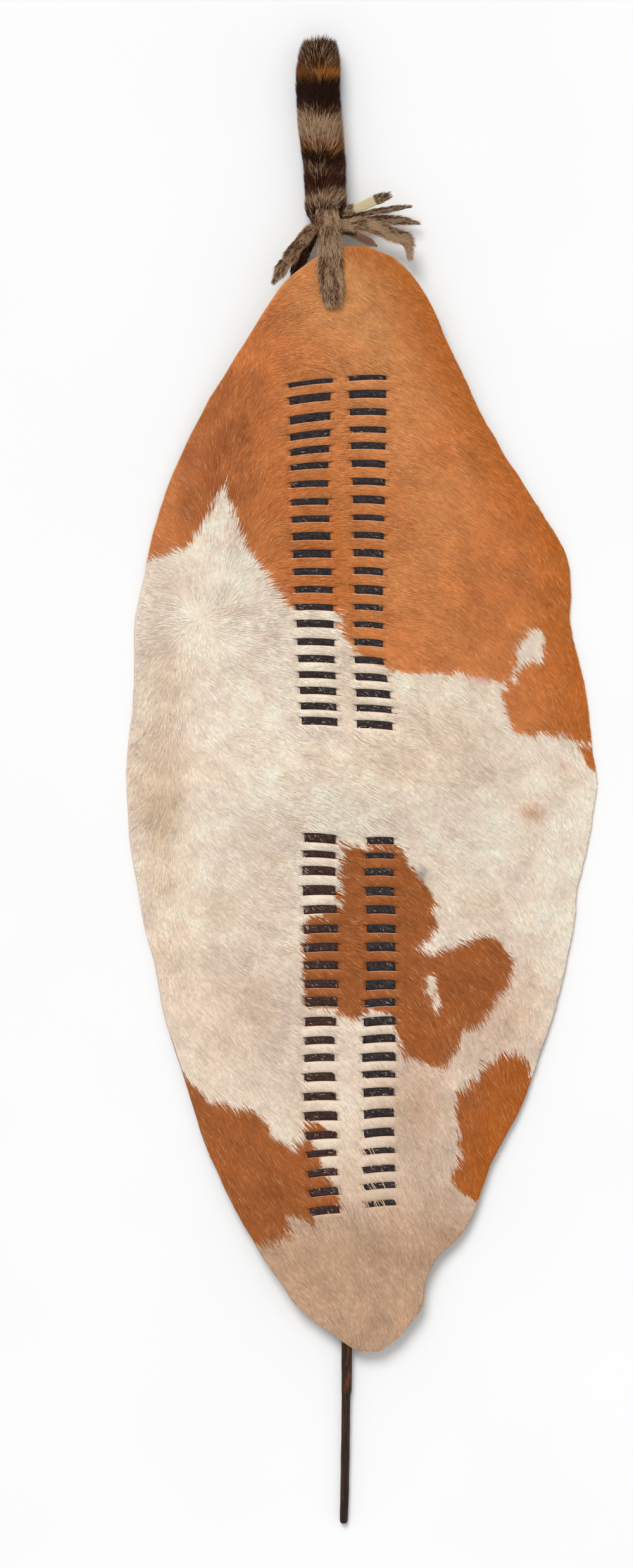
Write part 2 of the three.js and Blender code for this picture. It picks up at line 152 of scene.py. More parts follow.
# The lay of the coat: x, y, direction in which the tips point, in degrees from across to along
HAIR_LAY = [
    (-175, 560, 95), (-172, 480, 90), (-170, 420, 90), (-172, 340, 88), (-190, 270, 95),
    (-215, 480, 125), (-225, 420, 130), (-240, 360, 140), (-255, 300, 150), (-270, 250, 170),
    (-285, 210, 185), (-145, 520, 60), (-140, 450, 60), (-135, 390, 62), (-140, 320, 55),
    (-160, 260, 40), (-110, 520, 10), (-108, 450, 5), (-105, 390, 20), (-105, 330, 10),
    (-110, 270, 0), (-120, 220, -10), (-60, 560, -30), (-60, 400, -12), (-60, 300, -12),
    (-60, 180, -20), (-100, 640, 15), (-60, 670, -25), (-10, 690, -60), (20, 650, -38),
    (60, 620, -40), (90, 560, -38), (0, 580, -35), (60, 500, -30), (130, 500, -35), (60, 380, -28),
    (160, 400, -38), (230, 350, -50), (80, 250, -25), (180, 260, -35), (260, 250, -60),
    (60, 160, -30), (150, 140, -40), (230, 140, -50), (285, 120, -70), (-212, 240, 90),
    (-188, 218, 0), (-212, 196, -90), (-236, 218, 180), (-234, 150, -90), (-245, 80, -90),
    (-252, 0, -92), (-262, -80, -92), (-270, -140, -95), (-270, 150, -135), (-285, 60, -130),
    (-290, -30, -125), (-295, -120, -120), (-205, 150, -45), (-215, 60, -50), (-222, -20, -55),
    (-230, -100, -58), (-150, 150, -25), (-150, 60, -28), (-150, -40, -28), (-150, -130, -32),
    (-90, 0, -28), (-90, -100, -25), (0, 0, -30), (80, 0, -35), (160, 0, -40), (240, 0, -50),
    (290, -30, -70), (-60, -200, -25), (20, -200, -30), (100, -200, -45), (180, -180, -50),
    (250, -150, -60), (-200, -200, -45), (-250, -250, -70), (-150, -250, -40), (-200, -330, -55),
    (-150, -400, -50), (-80, -330, -35), (-10, -330, -45), (80, -330, -55), (150, -330, -60),
    (220, -330, -70), (-180, -480, -60), (-110, -500, -55), (-50, -450, -45), (10, -450, -55),
    (90, -450, -60), (160, -450, -68), (-130, -570, -60), (-60, -600, -60), (0, -560, -60),
    (60, -540, -62), (110, -540, -65), (-60, -680, -55), (0, -650, -62), (40, -700, -75),
    (70, -620, -70), (0, -730, -75),
]

# ---- numbers and curves --------------------------------------------------------------------------


def draws(number):
    """A seeded source of random numbers, one for each use."""
    return np.random.default_rng(SEED + number)


def through_rows(rows, column, at):
    """A smooth curve through table rows: a cubic between two rows, its slope at a row the slope
    between the row before and the row after."""
    table = np.array(sorted(rows), float)
    keys, values = table[:, 0], table[:, column]
    before = np.maximum(np.arange(len(keys)) - 1, 0)
    after = np.minimum(np.arange(len(keys)) + 1, len(keys) - 1)
    slope = (values[after] - values[before]) / (keys[after] - keys[before])
    t = np.clip(at, keys[0], keys[-1])
    i = np.clip(np.searchsorted(keys, t) - 1, 0, len(keys) - 2)
    span = keys[i + 1] - keys[i]
    s = (t - keys[i]) / span
    hermite = values[i] * (2 * s**3 - 3 * s**2 + 1) + values[i + 1] * (3 * s**2 - 2 * s**3)
    return hermite + span * (slope[i] * (s**3 - 2 * s**2 + s) + slope[i + 1] * (s**3 - s**2))


def wander(x, y, size, number):
    """Smooth seeded noise from -1 to 1: random values on a square lattice of the given size, eased
    from one lattice point to the next."""
    lattice = draws(number).uniform(-1, 1, (64, 64))
    gx, gy = np.asarray(x) / size + 0.37, np.asarray(y) / size + 0.61
    ix, iy = np.floor(gx).astype(int), np.floor(gy).astype(int)
    fx, fy = gx - ix, gy - iy
    fx, fy = fx * fx * (3 - 2 * fx), fy * fy * (3 - 2 * fy)
    low = lattice[ix % 64, iy % 64] * (1 - fx) + lattice[(ix + 1) % 64, iy % 64] * fx
    high = lattice[ix % 64, (iy + 1) % 64] * (1 - fx) + lattice[(ix + 1) % 64, (iy + 1) % 64] * fx
    return low * (1 - fy) + high * fy


def ease(t):
    """Rises from 0 to 1 without a corner at either end."""
    t = np.clip(t, 0, 1)
    return t * t * (3 - 2 * t)


def mound(x, y, middle_x, middle_y, reach_x, reach_y):
    """1 at a middle, falling off as a bell along both directions."""
    return np.exp(-((x - middle_x) / reach_x) ** 2 - ((y - middle_y) / reach_y) ** 2)


def inside(outline, x, y):
    """How deep points lie inside a closed outline: the distance to its nearest side, negative outside."""
    corners = np.array(outline, float)
    nearest = np.full(x.shape, 1e9)
    crossings = np.zeros(x.shape, int)
    for (ax, ay), (bx, by) in zip(corners, np.roll(corners, -1, 0)):
        dx, dy = bx - ax, by - ay
        t = np.clip(((x - ax) * dx + (y - ay) * dy) / (dx * dx + dy * dy), 0, 1)
        nearest = np.minimum(nearest, np.hypot(x - ax - t * dx, y - ay - t * dy))
        if dy != 0:
            crossings += ((ay > y) != (by > y)) & (x < ax + (y - ay) * dx / dy)
    return np.where(crossings % 2 == 1, nearest, -nearest)


def linear(code):
    """A colour written as rrggbb, as the linear values that shaders work in."""
    parts = np.array([int(code[i:i + 2], 16) / 255 for i in (0, 2, 4)])
    return np.where(parts <= 0.04045, parts / 12.92, ((parts + 0.055) / 1.055) ** 2.4)


def blend_colours(colour, other, share):
    """Rows of colours moved towards another colour by each row's share."""
    share = np.clip(share, 0, 1)[..., None]
    return colour * (1 - share) + other * share


# ---- the hide's form -----------------------------------------------------------------------------


def hide_edge(side, y):
    """x of the hide's left (0) or right (1) edge, with the small ripples of a cut raw edge."""
    wave = wander(y, np.full(np.shape(y), 50.0 * side), 26, 1) + 0.5 * wander(y, 90.0 * side + y * 0, 9, 2)
    fade = ease((HIDE_TOP - y) / 60) * ease((y - HIDE_BOTTOM) / 60)
    return through_rows(HIDE_OUTLINE, 1 + side, y) + wave * fade * (0.8, 1.4)[side]


def hide_middle(x, y):
    """Height of the hide's middle: level over the stick and the lacing, then a parabola down to both
    edges, with a rise at the hand grip that fades out sideways."""
    stick_x = through_rows(STICK, 1, y)
    across = x - stick_x
    rest = through_rows(STICK, 2, y) + through_rows(STICK, 3, y) + HIDE_ABOVE_STICK
    left = through_rows(HIDE_OUTLINE, 1, y)
    right = through_rows(HIDE_OUTLINE, 2, y)
    half = np.where(across < 0, stick_x - left, right - stick_x)
    grip_stick = through_rows(STICK, 1, GRIP_CENTRE)
    widest = np.where(across < 0, grip_stick - through_rows(HIDE_OUTLINE, 1, GRIP_CENTRE),
                      through_rows(HIDE_OUTLINE, 2, GRIP_CENTRE) - grip_stick)
    flat = np.where(across < 0, HIDE_FLAT[0], HIDE_FLAT[1])
    reach = half + EDGE_RISE * (1 - half / widest)
    beyond = np.maximum(np.abs(across) - flat, 0)
    fall = np.minimum((beyond / (reach - flat)) ** 2, 1)
    spread = (1 - np.minimum(beyond / GRIP_SPREAD, 1) ** 2) ** 2
    grip = GRIP_RISE * np.exp(-((y - GRIP_CENTRE) / GRIP_REACH) ** 2)
    ripple = 0.5 * wander(x, y, 70, 3) * ease(beyond / 40) * (1 - fall)
    return rest * (1 - fall) + HIDE_THICKNESS / 2 * fall + grip * spread + ripple


def cell_place(column, y):
    """A place along the shield as a cell number with its fraction, from 0 at the top cell's middle."""
    return np.interp(-np.asarray(y, float), -np.array(column["y"]), np.arange(CELLS))


def column_edge(column, side, y):
    """x of a lacing column's left (0) or right (1) edge."""
    return through_rows(column["edges"], 1 + side, cell_place(column, y))


def column_lean(column, y):
    """How much the cells rise per length across the column."""
    return through_rows(column["lean"], 1, cell_place(column, y))


def cell_arch(across):
    """How far a cell's lines bow up along the shield: a parabola between its ends."""
    return CELL_ARCH * (1 - (2 * np.clip(across, 0, 1) - 1) ** 2) - ARCH_DROP


def cell_line(column, x, y):
    """y at x of the line that crosses the column at y: leaning, and arched."""
    left, right = column_edge(column, 0, y), column_edge(column, 1, y)
    arch = cell_arch((x - left) / (right - left))
    return y + column_lean(column, y) * (x - (left + right) / 2) + arch


def nearest_cell(column, y):
    """The number of the cell nearest to a place along the shield."""
    return np.clip(np.round(cell_place(column, y)), 0, CELLS - 1).astype(int)


def past_sides(column, across, y):
    """How far points lie outside a column's edges, in millimetres, negative inside."""
    return np.maximum(-across, across - 1) * (column_edge(column, 1, y) - column_edge(column, 0, y))


def in_column(column, x, y):
    """For points on the hide: the place across the column (0 to 1 between its edges), the distance in
    millimetres from the nearest cell's middle, along the shield, half that cell's length and half
    that of the bar beside it."""
    middles, lengths = np.array(column["y"]), np.array(column["cell"])
    left, right = column_edge(column, 0, y), column_edge(column, 1, y)
    across = (x - left) / (right - left)
    level = y - column_lean(column, y) * (x - (left + right) / 2) - cell_arch(across)
    place = nearest_cell(column, level)
    off = level - middles[place]
    beside = np.clip(place - np.sign(off).astype(int), 0, CELLS - 1)
    pitch = np.where(beside == place, PLAIN_PITCH, np.abs(middles[place] - middles[beside]))
    half_bar = (pitch - lengths[place] / 2 - lengths[beside] / 2) / 2
    return across, off, lengths[place] / 2, half_bar


def bar_bow(x, y):
    """How far the bars between the cells stand proud of the hide: bowed along the shield, and level
    across the strip, easing out where the slits end."""
    bow = np.zeros(np.shape(x))
    for column in COLUMNS.values():
        across, off, half, half_bar = in_column(column, x, y)
        level = ease(1 - np.maximum(past_sides(column, across, y), 0) / SLIT_OVERRUN)
        into = (np.abs(off) - half) / half_bar
        bar = BAR_LIP + (BAR_CREST - BAR_LIP) * np.clip(into * (2 - into), 0, 1)
        bar = bar * ease((half + BAR_END - np.abs(off)) / BAR_FADE)
        bow = bow + level * np.where(into < 0, CELL_DIP, bar)
    return bow


def hide_face(x, y):
    """Height of the hide's hair side."""
    return hide_middle(x, y) + HIDE_THICKNESS / 2 + bar_bow(x, y)


def in_cell(x, y, margin):
    """Whether points lie over a cell of the lacing, with a margin round it."""
    over = np.zeros(np.shape(x), bool)
    for column in COLUMNS.values():
        across, off, half = in_column(column, x, y)[:3]
        over |= (past_sides(column, across, y) < margin) & (np.abs(off) < half + margin)
    return over


# ---- the coat's colours --------------------------------------------------------------------------

BROWN, TAN = linear("d98345"), linear("e09a5c")
LOW_BROWN = linear("ac602a")
# the left flank's brown is darker and redder, and strengthened as painted shade of the hollow along it
FLANK_AND_PAINTED_SHADE, RUST = linear("ae6130"), linear("bf671b")
CREAM, SHADE = linear("fcecda"), linear("e6ccae")
BEIGE, PINK = linear("c79e7c"), linear("df9c92")
GREY, PALE_HAIR = linear("6d6460"), linear("e6b98a")
# What the coat's colours are multiplied by at the root of a hair: painted shade of the hairs that lie over
# the root
ROOT_SHADE_OF_BROWN = 0.86 * np.array([1, 0.92, 0.85])
ROOT_SHADE_OF_CREAM = 0.94 * np.array([1, 0.93, 0.84])


def brown_depth(x, y):
    """How deep points lie in the brown patches, negative in the cream ones."""
    depth = np.full(x.shape, -1e9)
    for patch in BROWN_PATCHES:
        depth = np.maximum(depth, inside(patch, x, y))
    for fleck in CREAM_FLECKS:
        depth = np.minimum(depth, -inside(fleck, x, y))
    return depth


def coat_colour(x, y, ragged):
    """Colour of the coat: brown inside the patches and cream outside, the border pushed about by the
    ragged distance; the brown is tan at the top, dark on the left flank, partly as painted shade of its
    hollow, and rusty at the right edge, the cream shaded along the parting and beige at the foot."""
    brown = brown_depth(x, y) + ragged > 0
    broad = wander(x, y, 60, 11)
    fine = wander(x, y, 17, 12)
    coat = blend_colours(np.broadcast_to(BROWN, x.shape + (3,)), TAN,
                         mound(x, y, 0, 640, 90, 110) + 0.5 * mound(x, y, 60, 380, 90, 260) + 0.25 * broad)
    # partly painted shade: the dark brown on the left flank stands for the shade of its hollow
    coat = blend_colours(coat, FLANK_AND_PAINTED_SHADE, 0.9 * mound(x, y, -195, 420, 62, 150) + 0.2 * fine)
    coat = blend_colours(coat, LOW_BROWN, ease((40 - y) / 60))
    right = ease((x - through_rows(HIDE_OUTLINE, 2, y) + 95) / 90)
    coat = blend_colours(coat, RUST, 0.8 * right + 0.5 * mound(x, y, -60, 300, 60, 120))
    pale = blend_colours(np.broadcast_to(CREAM, x.shape + (3,)), SHADE,
                         0.8 * mound(x, y, -262, -20, 30, 150) + 0.35 * np.maximum(broad, 0)
                         + 0.25 * np.maximum(fine, 0) + 0.5 * mound(x, y, 90, 60, 80, 60))
    pale = blend_colours(pale, BEIGE, 0.9 * ease((-440 - y) / 170) + 0.5 * mound(x, y, 180, -300, 60, 90)
                         + 0.75 * mound(x, y, 70, -420, 60, 90) + 0.3 * mound(x, y, -150, -300, 160, 120))
    pale = blend_colours(pale, RUST, 0.5 * mound(x, y, 220, -30, 16, 12) + 0.4 * mound(x, y, 261, 31, 6, 5))
    pale = blend_colours(pale, PINK, 0.8 * mound(x, y, 155, 146, 26, 5))
    pale = blend_colours(pale, GREY, 0.7 * mound(x, y, 73, -114, 9, 11))
    return np.where(brown[..., None], coat, pale), brown


# ---- making meshes -------------------------------------------------------------------------------


def make_piece(name, points, faces, finishes, replaced=(), tint=None, plan=None, kinds=None,
               tones_and_painted_shade=None):
    """A mesh piece from points in millimetres and a list of face arrays, riding on the shield. tint is a
    colour for each point, plan a place for each point on the flat texture sheet, kinds the number of the
    finish for each face and tones a number for each face."""
    groups = [group for group in faces if len(group)]
    sizes = np.concatenate([np.full(len(group), group.shape[1]) for group in groups])
    corners = np.concatenate([group.ravel() for group in groups])
    mesh = bpy.data.meshes.new(name)
    mesh.vertices.add(len(points))
    mesh.vertices.foreach_set("co", (points * MM).astype(np.float32).ravel())
    mesh.loops.add(len(corners))
    mesh.loops.foreach_set("vertex_index", corners.astype(np.int32))
    mesh.polygons.add(len(sizes))
    mesh.polygons.foreach_set("loop_start", (np.cumsum(sizes) - sizes).astype(np.int32))
    mesh.polygons.foreach_set("use_smooth", np.ones(len(sizes), bool))
    if kinds is not None:
        mesh.polygons.foreach_set("material_index", kinds.astype(np.int32))
    if tones_and_painted_shade is not None:
        mesh.attributes.new("tone", "FLOAT", "FACE").data.foreach_set("value", tones_and_painted_shade.astype(np.float32))
    if tint is not None:
        rgba = np.concatenate([tint, np.ones((len(tint), 1))], 1).astype(np.float32)
        mesh.attributes.new("tint", "FLOAT_COLOR", "POINT").data.foreach_set("color", rgba.ravel())
    if plan is not None:
        layer = mesh.uv_layers.new(name="OFBake")
        layer.data.foreach_set("uv", plan[corners].astype(np.float32).ravel())
    mesh.update(calc_edges=True)
    mesh.validate()
    for finish in finishes:
        mesh.materials.append(finish)
    piece = bpy.data.objects.new(name, mesh)
    bpy.context.scene.collection.objects.link(piece)
    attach(piece, "root")
    if replaced:
        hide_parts(*replaced)


def plan_of(points):
    """Places on the flat texture sheet: the points seen from above, scaled to fit a square."""
    low, high = points[:, :2].min(0), points[:, :2].max(0)
    return (points[:, :2] - low) / (high - low).max() * 0.98 + 0.01


def grid_faces(rows, columns, around=False, flip=False):
    """Quads of a grid of points, row after row; around joins the last column to the first."""
    index = np.arange(rows * columns).reshape(rows, columns)
    following = np.roll(index, -1, 1) if around else index[:, 1:]
    index = index if around else index[:, :-1]
    quads = np.stack([index[:-1], index[1:], following[1:], following[:-1]], -1).reshape(-1, 4)
    return quads[:, ::-1] if flip else quads


HAIR_FLOOR = 0.25  # no hair reaches lower


def closed_ring(name, rings, finish, replaced, flip=False, tint=None):
    """A closed piece from rings of points, row after row, with a cap at both ends."""
    rows, sides = rings.shape[:2]
    caps = np.stack([np.arange(sides), (rows - 1) * sides + np.arange(sides)[::-1]])
    quads = grid_faces(rows, sides, around=True, flip=flip)
    make_piece(name, rings.reshape(-1, 3), [quads, caps if flip else caps[:, ::-1]], [finish],
               [replaced], tint=tint)


def hair_paths(root, heading, normal, length, open_out, flatten, roll):
    """Roots, middles and tips of hairs, and the direction across each: a hair leaves the skin opened out
    from its heading by an angle, lies flatter in its second half, and its blade is rolled."""
    def bearing(angle):
        return heading * np.cos(angle)[:, None] + normal * np.sin(angle)[:, None]
    half = (length / 2)[:, None]
    first = bearing(open_out)
    mid = root + first * half
    tip = mid + bearing(open_out * flatten) * half
    side = np.cross(first, normal)
    side = side / np.linalg.norm(side, axis=1, keepdims=True)
    side = side * np.cos(roll)[:, None] + normal * np.sin(roll)[:, None]
    return np.stack([root, mid, tip], 1), side


def hair_piece(name, paths, side, width, colours, finish):
    """Hairs as flat tapering blades: paths holds root, middle and tip of each, side the direction
    across it, width its width at the root, colours one colour for each of the three places."""
    half = side * (width / 2)[:, None]
    points = np.stack([
        paths[:, 0] - half, paths[:, 0] + half,
        paths[:, 1] - 0.8 * half, paths[:, 1] + 0.8 * half, paths[:, 2]], 1)
    tint = colours[:, [0, 0, 1, 1, 2]]
    first = 5 * np.arange(len(paths))[:, None]
    triangles = np.concatenate([first + [0, 1, 3], first + [0, 3, 2], first + [2, 3, 4]])
    points = points.reshape(-1, 3)
    points[:, 2] = np.maximum(points[:, 2], HAIR_FLOOR)
    make_piece(name, points, [triangles], [finish], tint=tint.reshape(-1, 3),
               plan=plan_of(points))


# ---- finishes ------------------------------------------------------------------------------------


class Value:
    """A socket of a material's nodes: Python's operators on it add Math nodes."""

    def __init__(self, finish, socket):
        self.finish = finish
        self.socket = socket

    def maths(self, operation, first, second):
        return self.finish.node("ShaderNodeMath", dict(operation=operation), {0: first, 1: second})

    def __add__(self, other):
        return self.maths("ADD", self, other)

    def __mul__(self, other):
        return self.maths("MULTIPLY", self, other)

    __radd__ = __add__
    __rmul__ = __mul__


class Finish:
    """A material round one Principled shader; constants are set on the shader's own sockets."""

    def __init__(self, name, constants):
        self.material = bpy.data.materials.new(name)
        self.material.use_nodes = True
        self.tree = self.material.node_tree
        self.shader = next(n for n in self.tree.nodes if n.type == "BSDF_PRINCIPLED")
        for key, value in constants.items():
            self.shader.inputs[key].default_value = value

    def put(self, socket, value):
        """Links a Value to a socket, or sets a number or a colour on it."""
        if isinstance(value, Value):
            self.tree.links.new(value.socket, socket)
        elif socket.type == "RGBA":
            socket.default_value = (*value, 1)
        else:
            socket.default_value = value

    def node(self, kind, settings, inputs, output=0):
        """Adds a node: its settings first, a ramp's stops among them, then its inputs."""
        node = self.tree.nodes.new(kind)
        for key, value in settings.items():
            if key == "stops":
                ramp = node.color_ramp
                while len(ramp.elements) < len(value):
                    ramp.elements.new(1)
                for element, (place, colour) in zip(ramp.elements, value):
                    element.position = place
                    element.color = (*colour, 1)
            else:
                setattr(node, key, value)
        for key, value in inputs.items():
            self.put(node.inputs[key], value)
        return Value(self, node.outputs[output])

    def place(self, stretch=(1, 1, 1)):
        """Object coordinates in millimetres, divided by a stretch along each axis."""
        at = self.node("ShaderNodeTexCoord", {}, {}, "Object")
        scale = tuple(1000 / part for part in stretch)
        return self.node("ShaderNodeMapping", {}, {"Vector": at, "Scale": scale})

    def noise(self, size, stretch=(1, 1, 1), detail=3, rough=0.5, twist=0):
        """Cloudy noise from 0 to 1 with lumps of a size in millimetres."""
        inputs = {"Vector": self.place(stretch), "Scale": 1 / size, "Detail": detail,
                  "Roughness": rough, "Distortion": twist}
        return self.node("ShaderNodeTexNoise", {}, inputs, "Fac")

    def ramp(self, value, *stops):
        """A number turned into a colour by stops."""
        return self.node("ShaderNodeValToRGB", dict(stops=stops), {"Fac": value}, "Color")

    def share(self, value, low=0.3, high=0.7):
        """A number's share of the way from a low to a high value, kept between 0 and 1."""
        return self.node("ShaderNodeMapRange", {}, {"Value": value, "From Min": low, "From Max": high})

    def mix(self, share, first, second, way="MIX"):
        """Two colours mixed."""
        return self.node("ShaderNodeMix", dict(data_type="RGBA", blend_type=way),
                         {0: share, 6: first, 7: second}, 2)

    def attribute(self, name, output):
        """A number or colour that the mesh carries."""
        return self.node("ShaderNodeAttribute", dict(attribute_name=name), {}, output)

    def finish(self, colour, roughness, height=None, relief=None):
        """Feeds the shader: colour, roughness, and a height in millimetres as relief."""
        self.put(self.shader.inputs["Base Color"], colour)
        self.put(self.shader.inputs["Roughness"], roughness)
        if height is not None:
            bump = self.node("ShaderNodeBump", {}, {"Strength": relief, "Distance": MM, "Height": height})
            self.put(self.shader.inputs["Normal"], bump)
        return self.material


def grey(value):
    """A grey of a given lightness."""
    return (value, value, value)


def carried(name, shine, size, detail, shade, rough, relief=None, stretch=(1, 1, 1)):
    """A finish in the colour that its points carry, darker in the hollows of a noise, its roughness
    rising from one value to the next with the noise."""
    f = Finish(name, {"Specular IOR Level": shine})
    lump = f.noise(size, stretch, detail)
    colour = f.mix(1, f.attribute("tint", "Color"), f.ramp(lump, (0.3, grey(shade)), (0.7, grey(1))),
                   "MULTIPLY")
    roughness = rough[0] + (rough[1] - rough[0]) * f.share(lump)
    if relief is None:
        return f.finish(colour, roughness)
    return f.finish(colour, roughness, lump, relief)


def coat_hair():
    """Glossy short hair, slightly uneven from lock to lock."""
    return carried("coat_hair", 0.22, 5, 2, 0.84, (0.5, 0.7))


def coat_skin():
    """The skin and the short undercoat below the hair."""
    return carried("coat_skin", 0.25, 1.2, 4, 0.8, (0.65, 0.85), 0.6, (1, 2, 1))


def strip_flesh():
    """Skin of the fur strips, pale and pinkish."""
    return carried("strip_flesh", 0.3, 1.6, 4, 0.7, (0.6, 0.8), 0.5)


def fur_hair():
    """Soft hair of the fur and the lacing."""
    return carried("fur_hair", 0.1, 3, 2, 0.8, (0.42, 0.6))


def flesh_side():
    """The scraped inner side of the hide: tan, with faint veins and scraping marks."""
    f = Finish("flesh_side", {"Specular IOR Level": 0.3})
    cloud = f.noise(46, detail=6, rough=0.6, twist=1.2)
    scrape = f.noise(3, (8, 1, 1), detail=4)
    vein = f.noise(28, detail=2, twist=3)
    colour = f.ramp(cloud, (0.3, linear("a98355")), (0.5, linear("c6a577")), (0.72, linear("d9c29a")))
    colour = f.mix(0.4 * f.share(scrape, 0.55, 0.8), colour, linear("8c6a44"))
    colour = f.mix(0.35 * f.share(vein, 0.62, 0.7), colour, linear("94603e"))
    return f.finish(colour, 0.5 + 0.25 * f.share(scrape), scrape, 0.4)


def cut_edge():
    """A cut through the hide: cream to pink, or olive and red-brown where the painted shade is high; the dark
    colours are painted shade on the walls that face away from the light.
    """
    f = Finish("cut_edge", {"Specular IOR Level": 0.3})
    fibre = f.noise(2.2, detail=4)
    pale = f.ramp(fibre, (0.3, linear("dba382")), (0.7, linear("f6dac2")))
    dark = f.ramp(fibre, (0.3, linear("4a3020")), (0.7, linear("8a6a44")))
    colour = f.mix(f.attribute("tone", "Fac"), pale, dark)
    return f.finish(colour, 0.55 + 0.25 * f.share(fibre), fibre, 0.4)


def strip_skin(name, low, high):
    """Dark hide of a lacing strip, with its short hair lying across."""
    f = Finish(name, {"Specular IOR Level": 0.12})
    nap = f.noise(0.9, (1, 4, 1), detail=3)
    colour = f.ramp(nap, (0.3, linear(low)), (0.72, linear(high)))
    return f.finish(colour, 0.45 + 0.25 * f.share(nap), nap, 0.5)


def stick_wood():
    """Dark peeled wood: long streaks of near black and warm brown, worn orange in places."""
    f = Finish("stick_wood", {"Specular IOR Level": 0.25})
    streak = f.noise(2.4, (1, 26, 1), detail=5, rough=0.6)
    worn = f.noise(16, (1, 5, 1), detail=4, rough=0.65, twist=0.6)
    knots = f.noise(9, (1, 1.4, 1), detail=2)
    colour = f.ramp(streak, (0.3, linear("120b07")), (0.52, linear("2b1a10")), (0.75, linear("5a3216")))
    colour = f.mix(0.85 * f.share(worn, 0.52, 0.68), colour, linear("8a4d1c"))
    colour = f.mix(0.8 * f.share(knots, 0.66, 0.74), colour, linear("0e0805"))
    return f.finish(colour, 0.5 + 0.22 * f.share(streak), streak, 0.7)


def rawhide():
    """Dried rawhide: amber tan, mottled, with a dull shine."""
    f = Finish("rawhide", {"Specular IOR Level": 0.45})
    cloud = f.noise(7, detail=5, rough=0.6)
    grain = f.noise(0.8, (5, 1, 1), detail=3)
    colour = f.ramp(cloud, (0.3, linear("8d6a40")), (0.7, linear("c8a877")))
    return f.finish(colour, 0.4 + 0.25 * f.share(grain), grain, 0.6)


def fur_skin():
    """Skin under the fur of the wrap: dark brown."""
    f = Finish("fur_skin", {"Specular IOR Level": 0.2})
    nap = f.noise(2.5, detail=4)
    return f.finish(f.ramp(nap, (0.3, linear("1c100b")), (0.7, linear("3a2418"))), 0.85, nap, 0.6)


def floor_finish():
    """Plain pale studio floor."""
    f = Finish("studio_floor", {"Specular IOR Level": 0.1})
    cloud = f.noise(300, detail=2)
    return f.finish(f.ramp(cloud, (0.3, grey(0.90)), (0.7, grey(0.92))), 0.9)


# ---- the hide ------------------------------------------------------------------------------------

ROW_STEP = 7.5  # between the rows of the hide's plain parts
SLIT_GAP = 0.9  # from a bar's cut edge to the first row in the cell
LIP_LEAN = 1.5  # how far the back of a bar's cut stands out into the cell
RIM_LEAN = (0.9, 0.7)  # how far the back of the cut outline stands out, left and right
# Ten knots across the hide: both edges, and for each column a slit's end, the strip's edges and the
# slit's other end; how they are shared out at a tip, and the steps between one knot and the next
KNOT_SHARES = np.array([0, 0.2, 0.25, 0.45, 0.5, 0.55, 0.6, 0.75, 0.8, 1])
KNOT_STEPS = (32, 2, 8, 2, 4, 2, 8, 2, 34)
SLIT_KNOTS = (1, 2, 3, 5, 6, 7)
STRIP_KNOTS = (2, 6)


def knot_line(left, right, left_y, right_y):
    """One line across the hide through both columns of a group: where it meets the edges and the ends
    of the slits and strips, as knots of x and y."""
    knots_x, knots_y = [], []
    for column, y in ((left, left_y), (right, right_y)):
        edges = [column_edge(column, side, y) for side in (0, 1)]
        xs = [edges[0] - SLIT_OVERRUN, edges[0], edges[1], edges[1] + SLIT_OVERRUN]
        knots_x += xs
        knots_y += [y + column_lean(column, y) * (x - sum(edges) / 2) - ARCH_DROP for x in xs]
    knots_y = [knots_y[0], *knots_y, knots_y[-1]]
    outer = [float(hide_edge(0, np.array(knots_y[0]))), float(hide_edge(1, np.array(knots_y[-1])))]
    return np.array([outer[0], *knots_x, outer[1]]), np.array(knots_y)


def group_lines(left, right):
    """The lines of one group of lacing, from the top down. Round every cell: the bar's lip, the cell's
    first row, two rows in it, its last row, the next bar's lip and two rows on the bar. Each line has
    its knots, its bow, whether a slit lies below it and whether it arches over the strips."""
    centres = [np.array(column["y"]) for column in (left, right)]
    halves = [np.array(column["cell"]) / 2 for column in (left, right)]
    lines = []
    for cell in range(CELLS):
        for share, inset, bow, slit in (
                (1, 0, BAR_LIP, True), (1, SLIT_GAP, CELL_DIP, False), (0.34, 0, CELL_DIP, False),
                (-0.34, 0, CELL_DIP, False), (-1, SLIT_GAP, CELL_DIP, True), (-1, 0, BAR_LIP, False)):
            ys = [c[cell] + share * h[cell] - np.sign(share) * inset for c, h in zip(centres, halves)]
            lines.append((*knot_line(left, right, *ys), bow, slit, True))
        if cell < CELLS - 1:
            for share in (1 / 3, 2 / 3):
                ys = [(c[cell] - h[cell]) * (1 - share) + (c[cell + 1] + h[cell + 1]) * share
                      for c, h in zip(centres, halves)]
                lines.append((*knot_line(left, right, *ys), BAR_CREST, False, True))
    return lines


def end_lines(line, tip_y):
    """Lines from a group's outer line to a tip of the hide: they straighten, and their knots spread
    evenly, towards the tip."""
    knots_x, knots_y = line[0], line[1]
    count = int(abs(tip_y - knots_y[0]) / ROW_STEP)
    shares = (knots_x - knots_x[0]) / (knots_x[-1] - knots_x[0])
    lines = []
    for step in range(1, count + 1):
        t = step / count
        ys = knots_y * (1 - t) + tip_y * t
        part = shares * (1 - ease(t)) + KNOT_SHARES * ease(t)
        low, high = hide_edge(0, ys[:1])[0], hide_edge(1, ys[-1:])[0]
        bow = BAR_LIP * max(0, 1 - step / 2)
        lines.append((low + (high - low) * part, ys, bow, False, False))
    return lines


def between_lines(above, below):
    """Lines from the last line of one group to the first of the next."""
    count = int((above[1][0] - below[1][0]) / ROW_STEP)
    lines = []
    for step in range(1, count):
        t = step / count
        knots_x, knots_y = above[0] * (1 - t) + below[0] * t, above[1] * (1 - t) + below[1] * t
        knots_x[0], knots_x[-1] = hide_edge(0, knots_y[:1])[0], hide_edge(1, knots_y[-1:])[0]
        bow = BAR_LIP * max(0, 1 - min(step, count - step) / 2)
        lines.append((knots_x, knots_y, bow, False, False))
    return lines


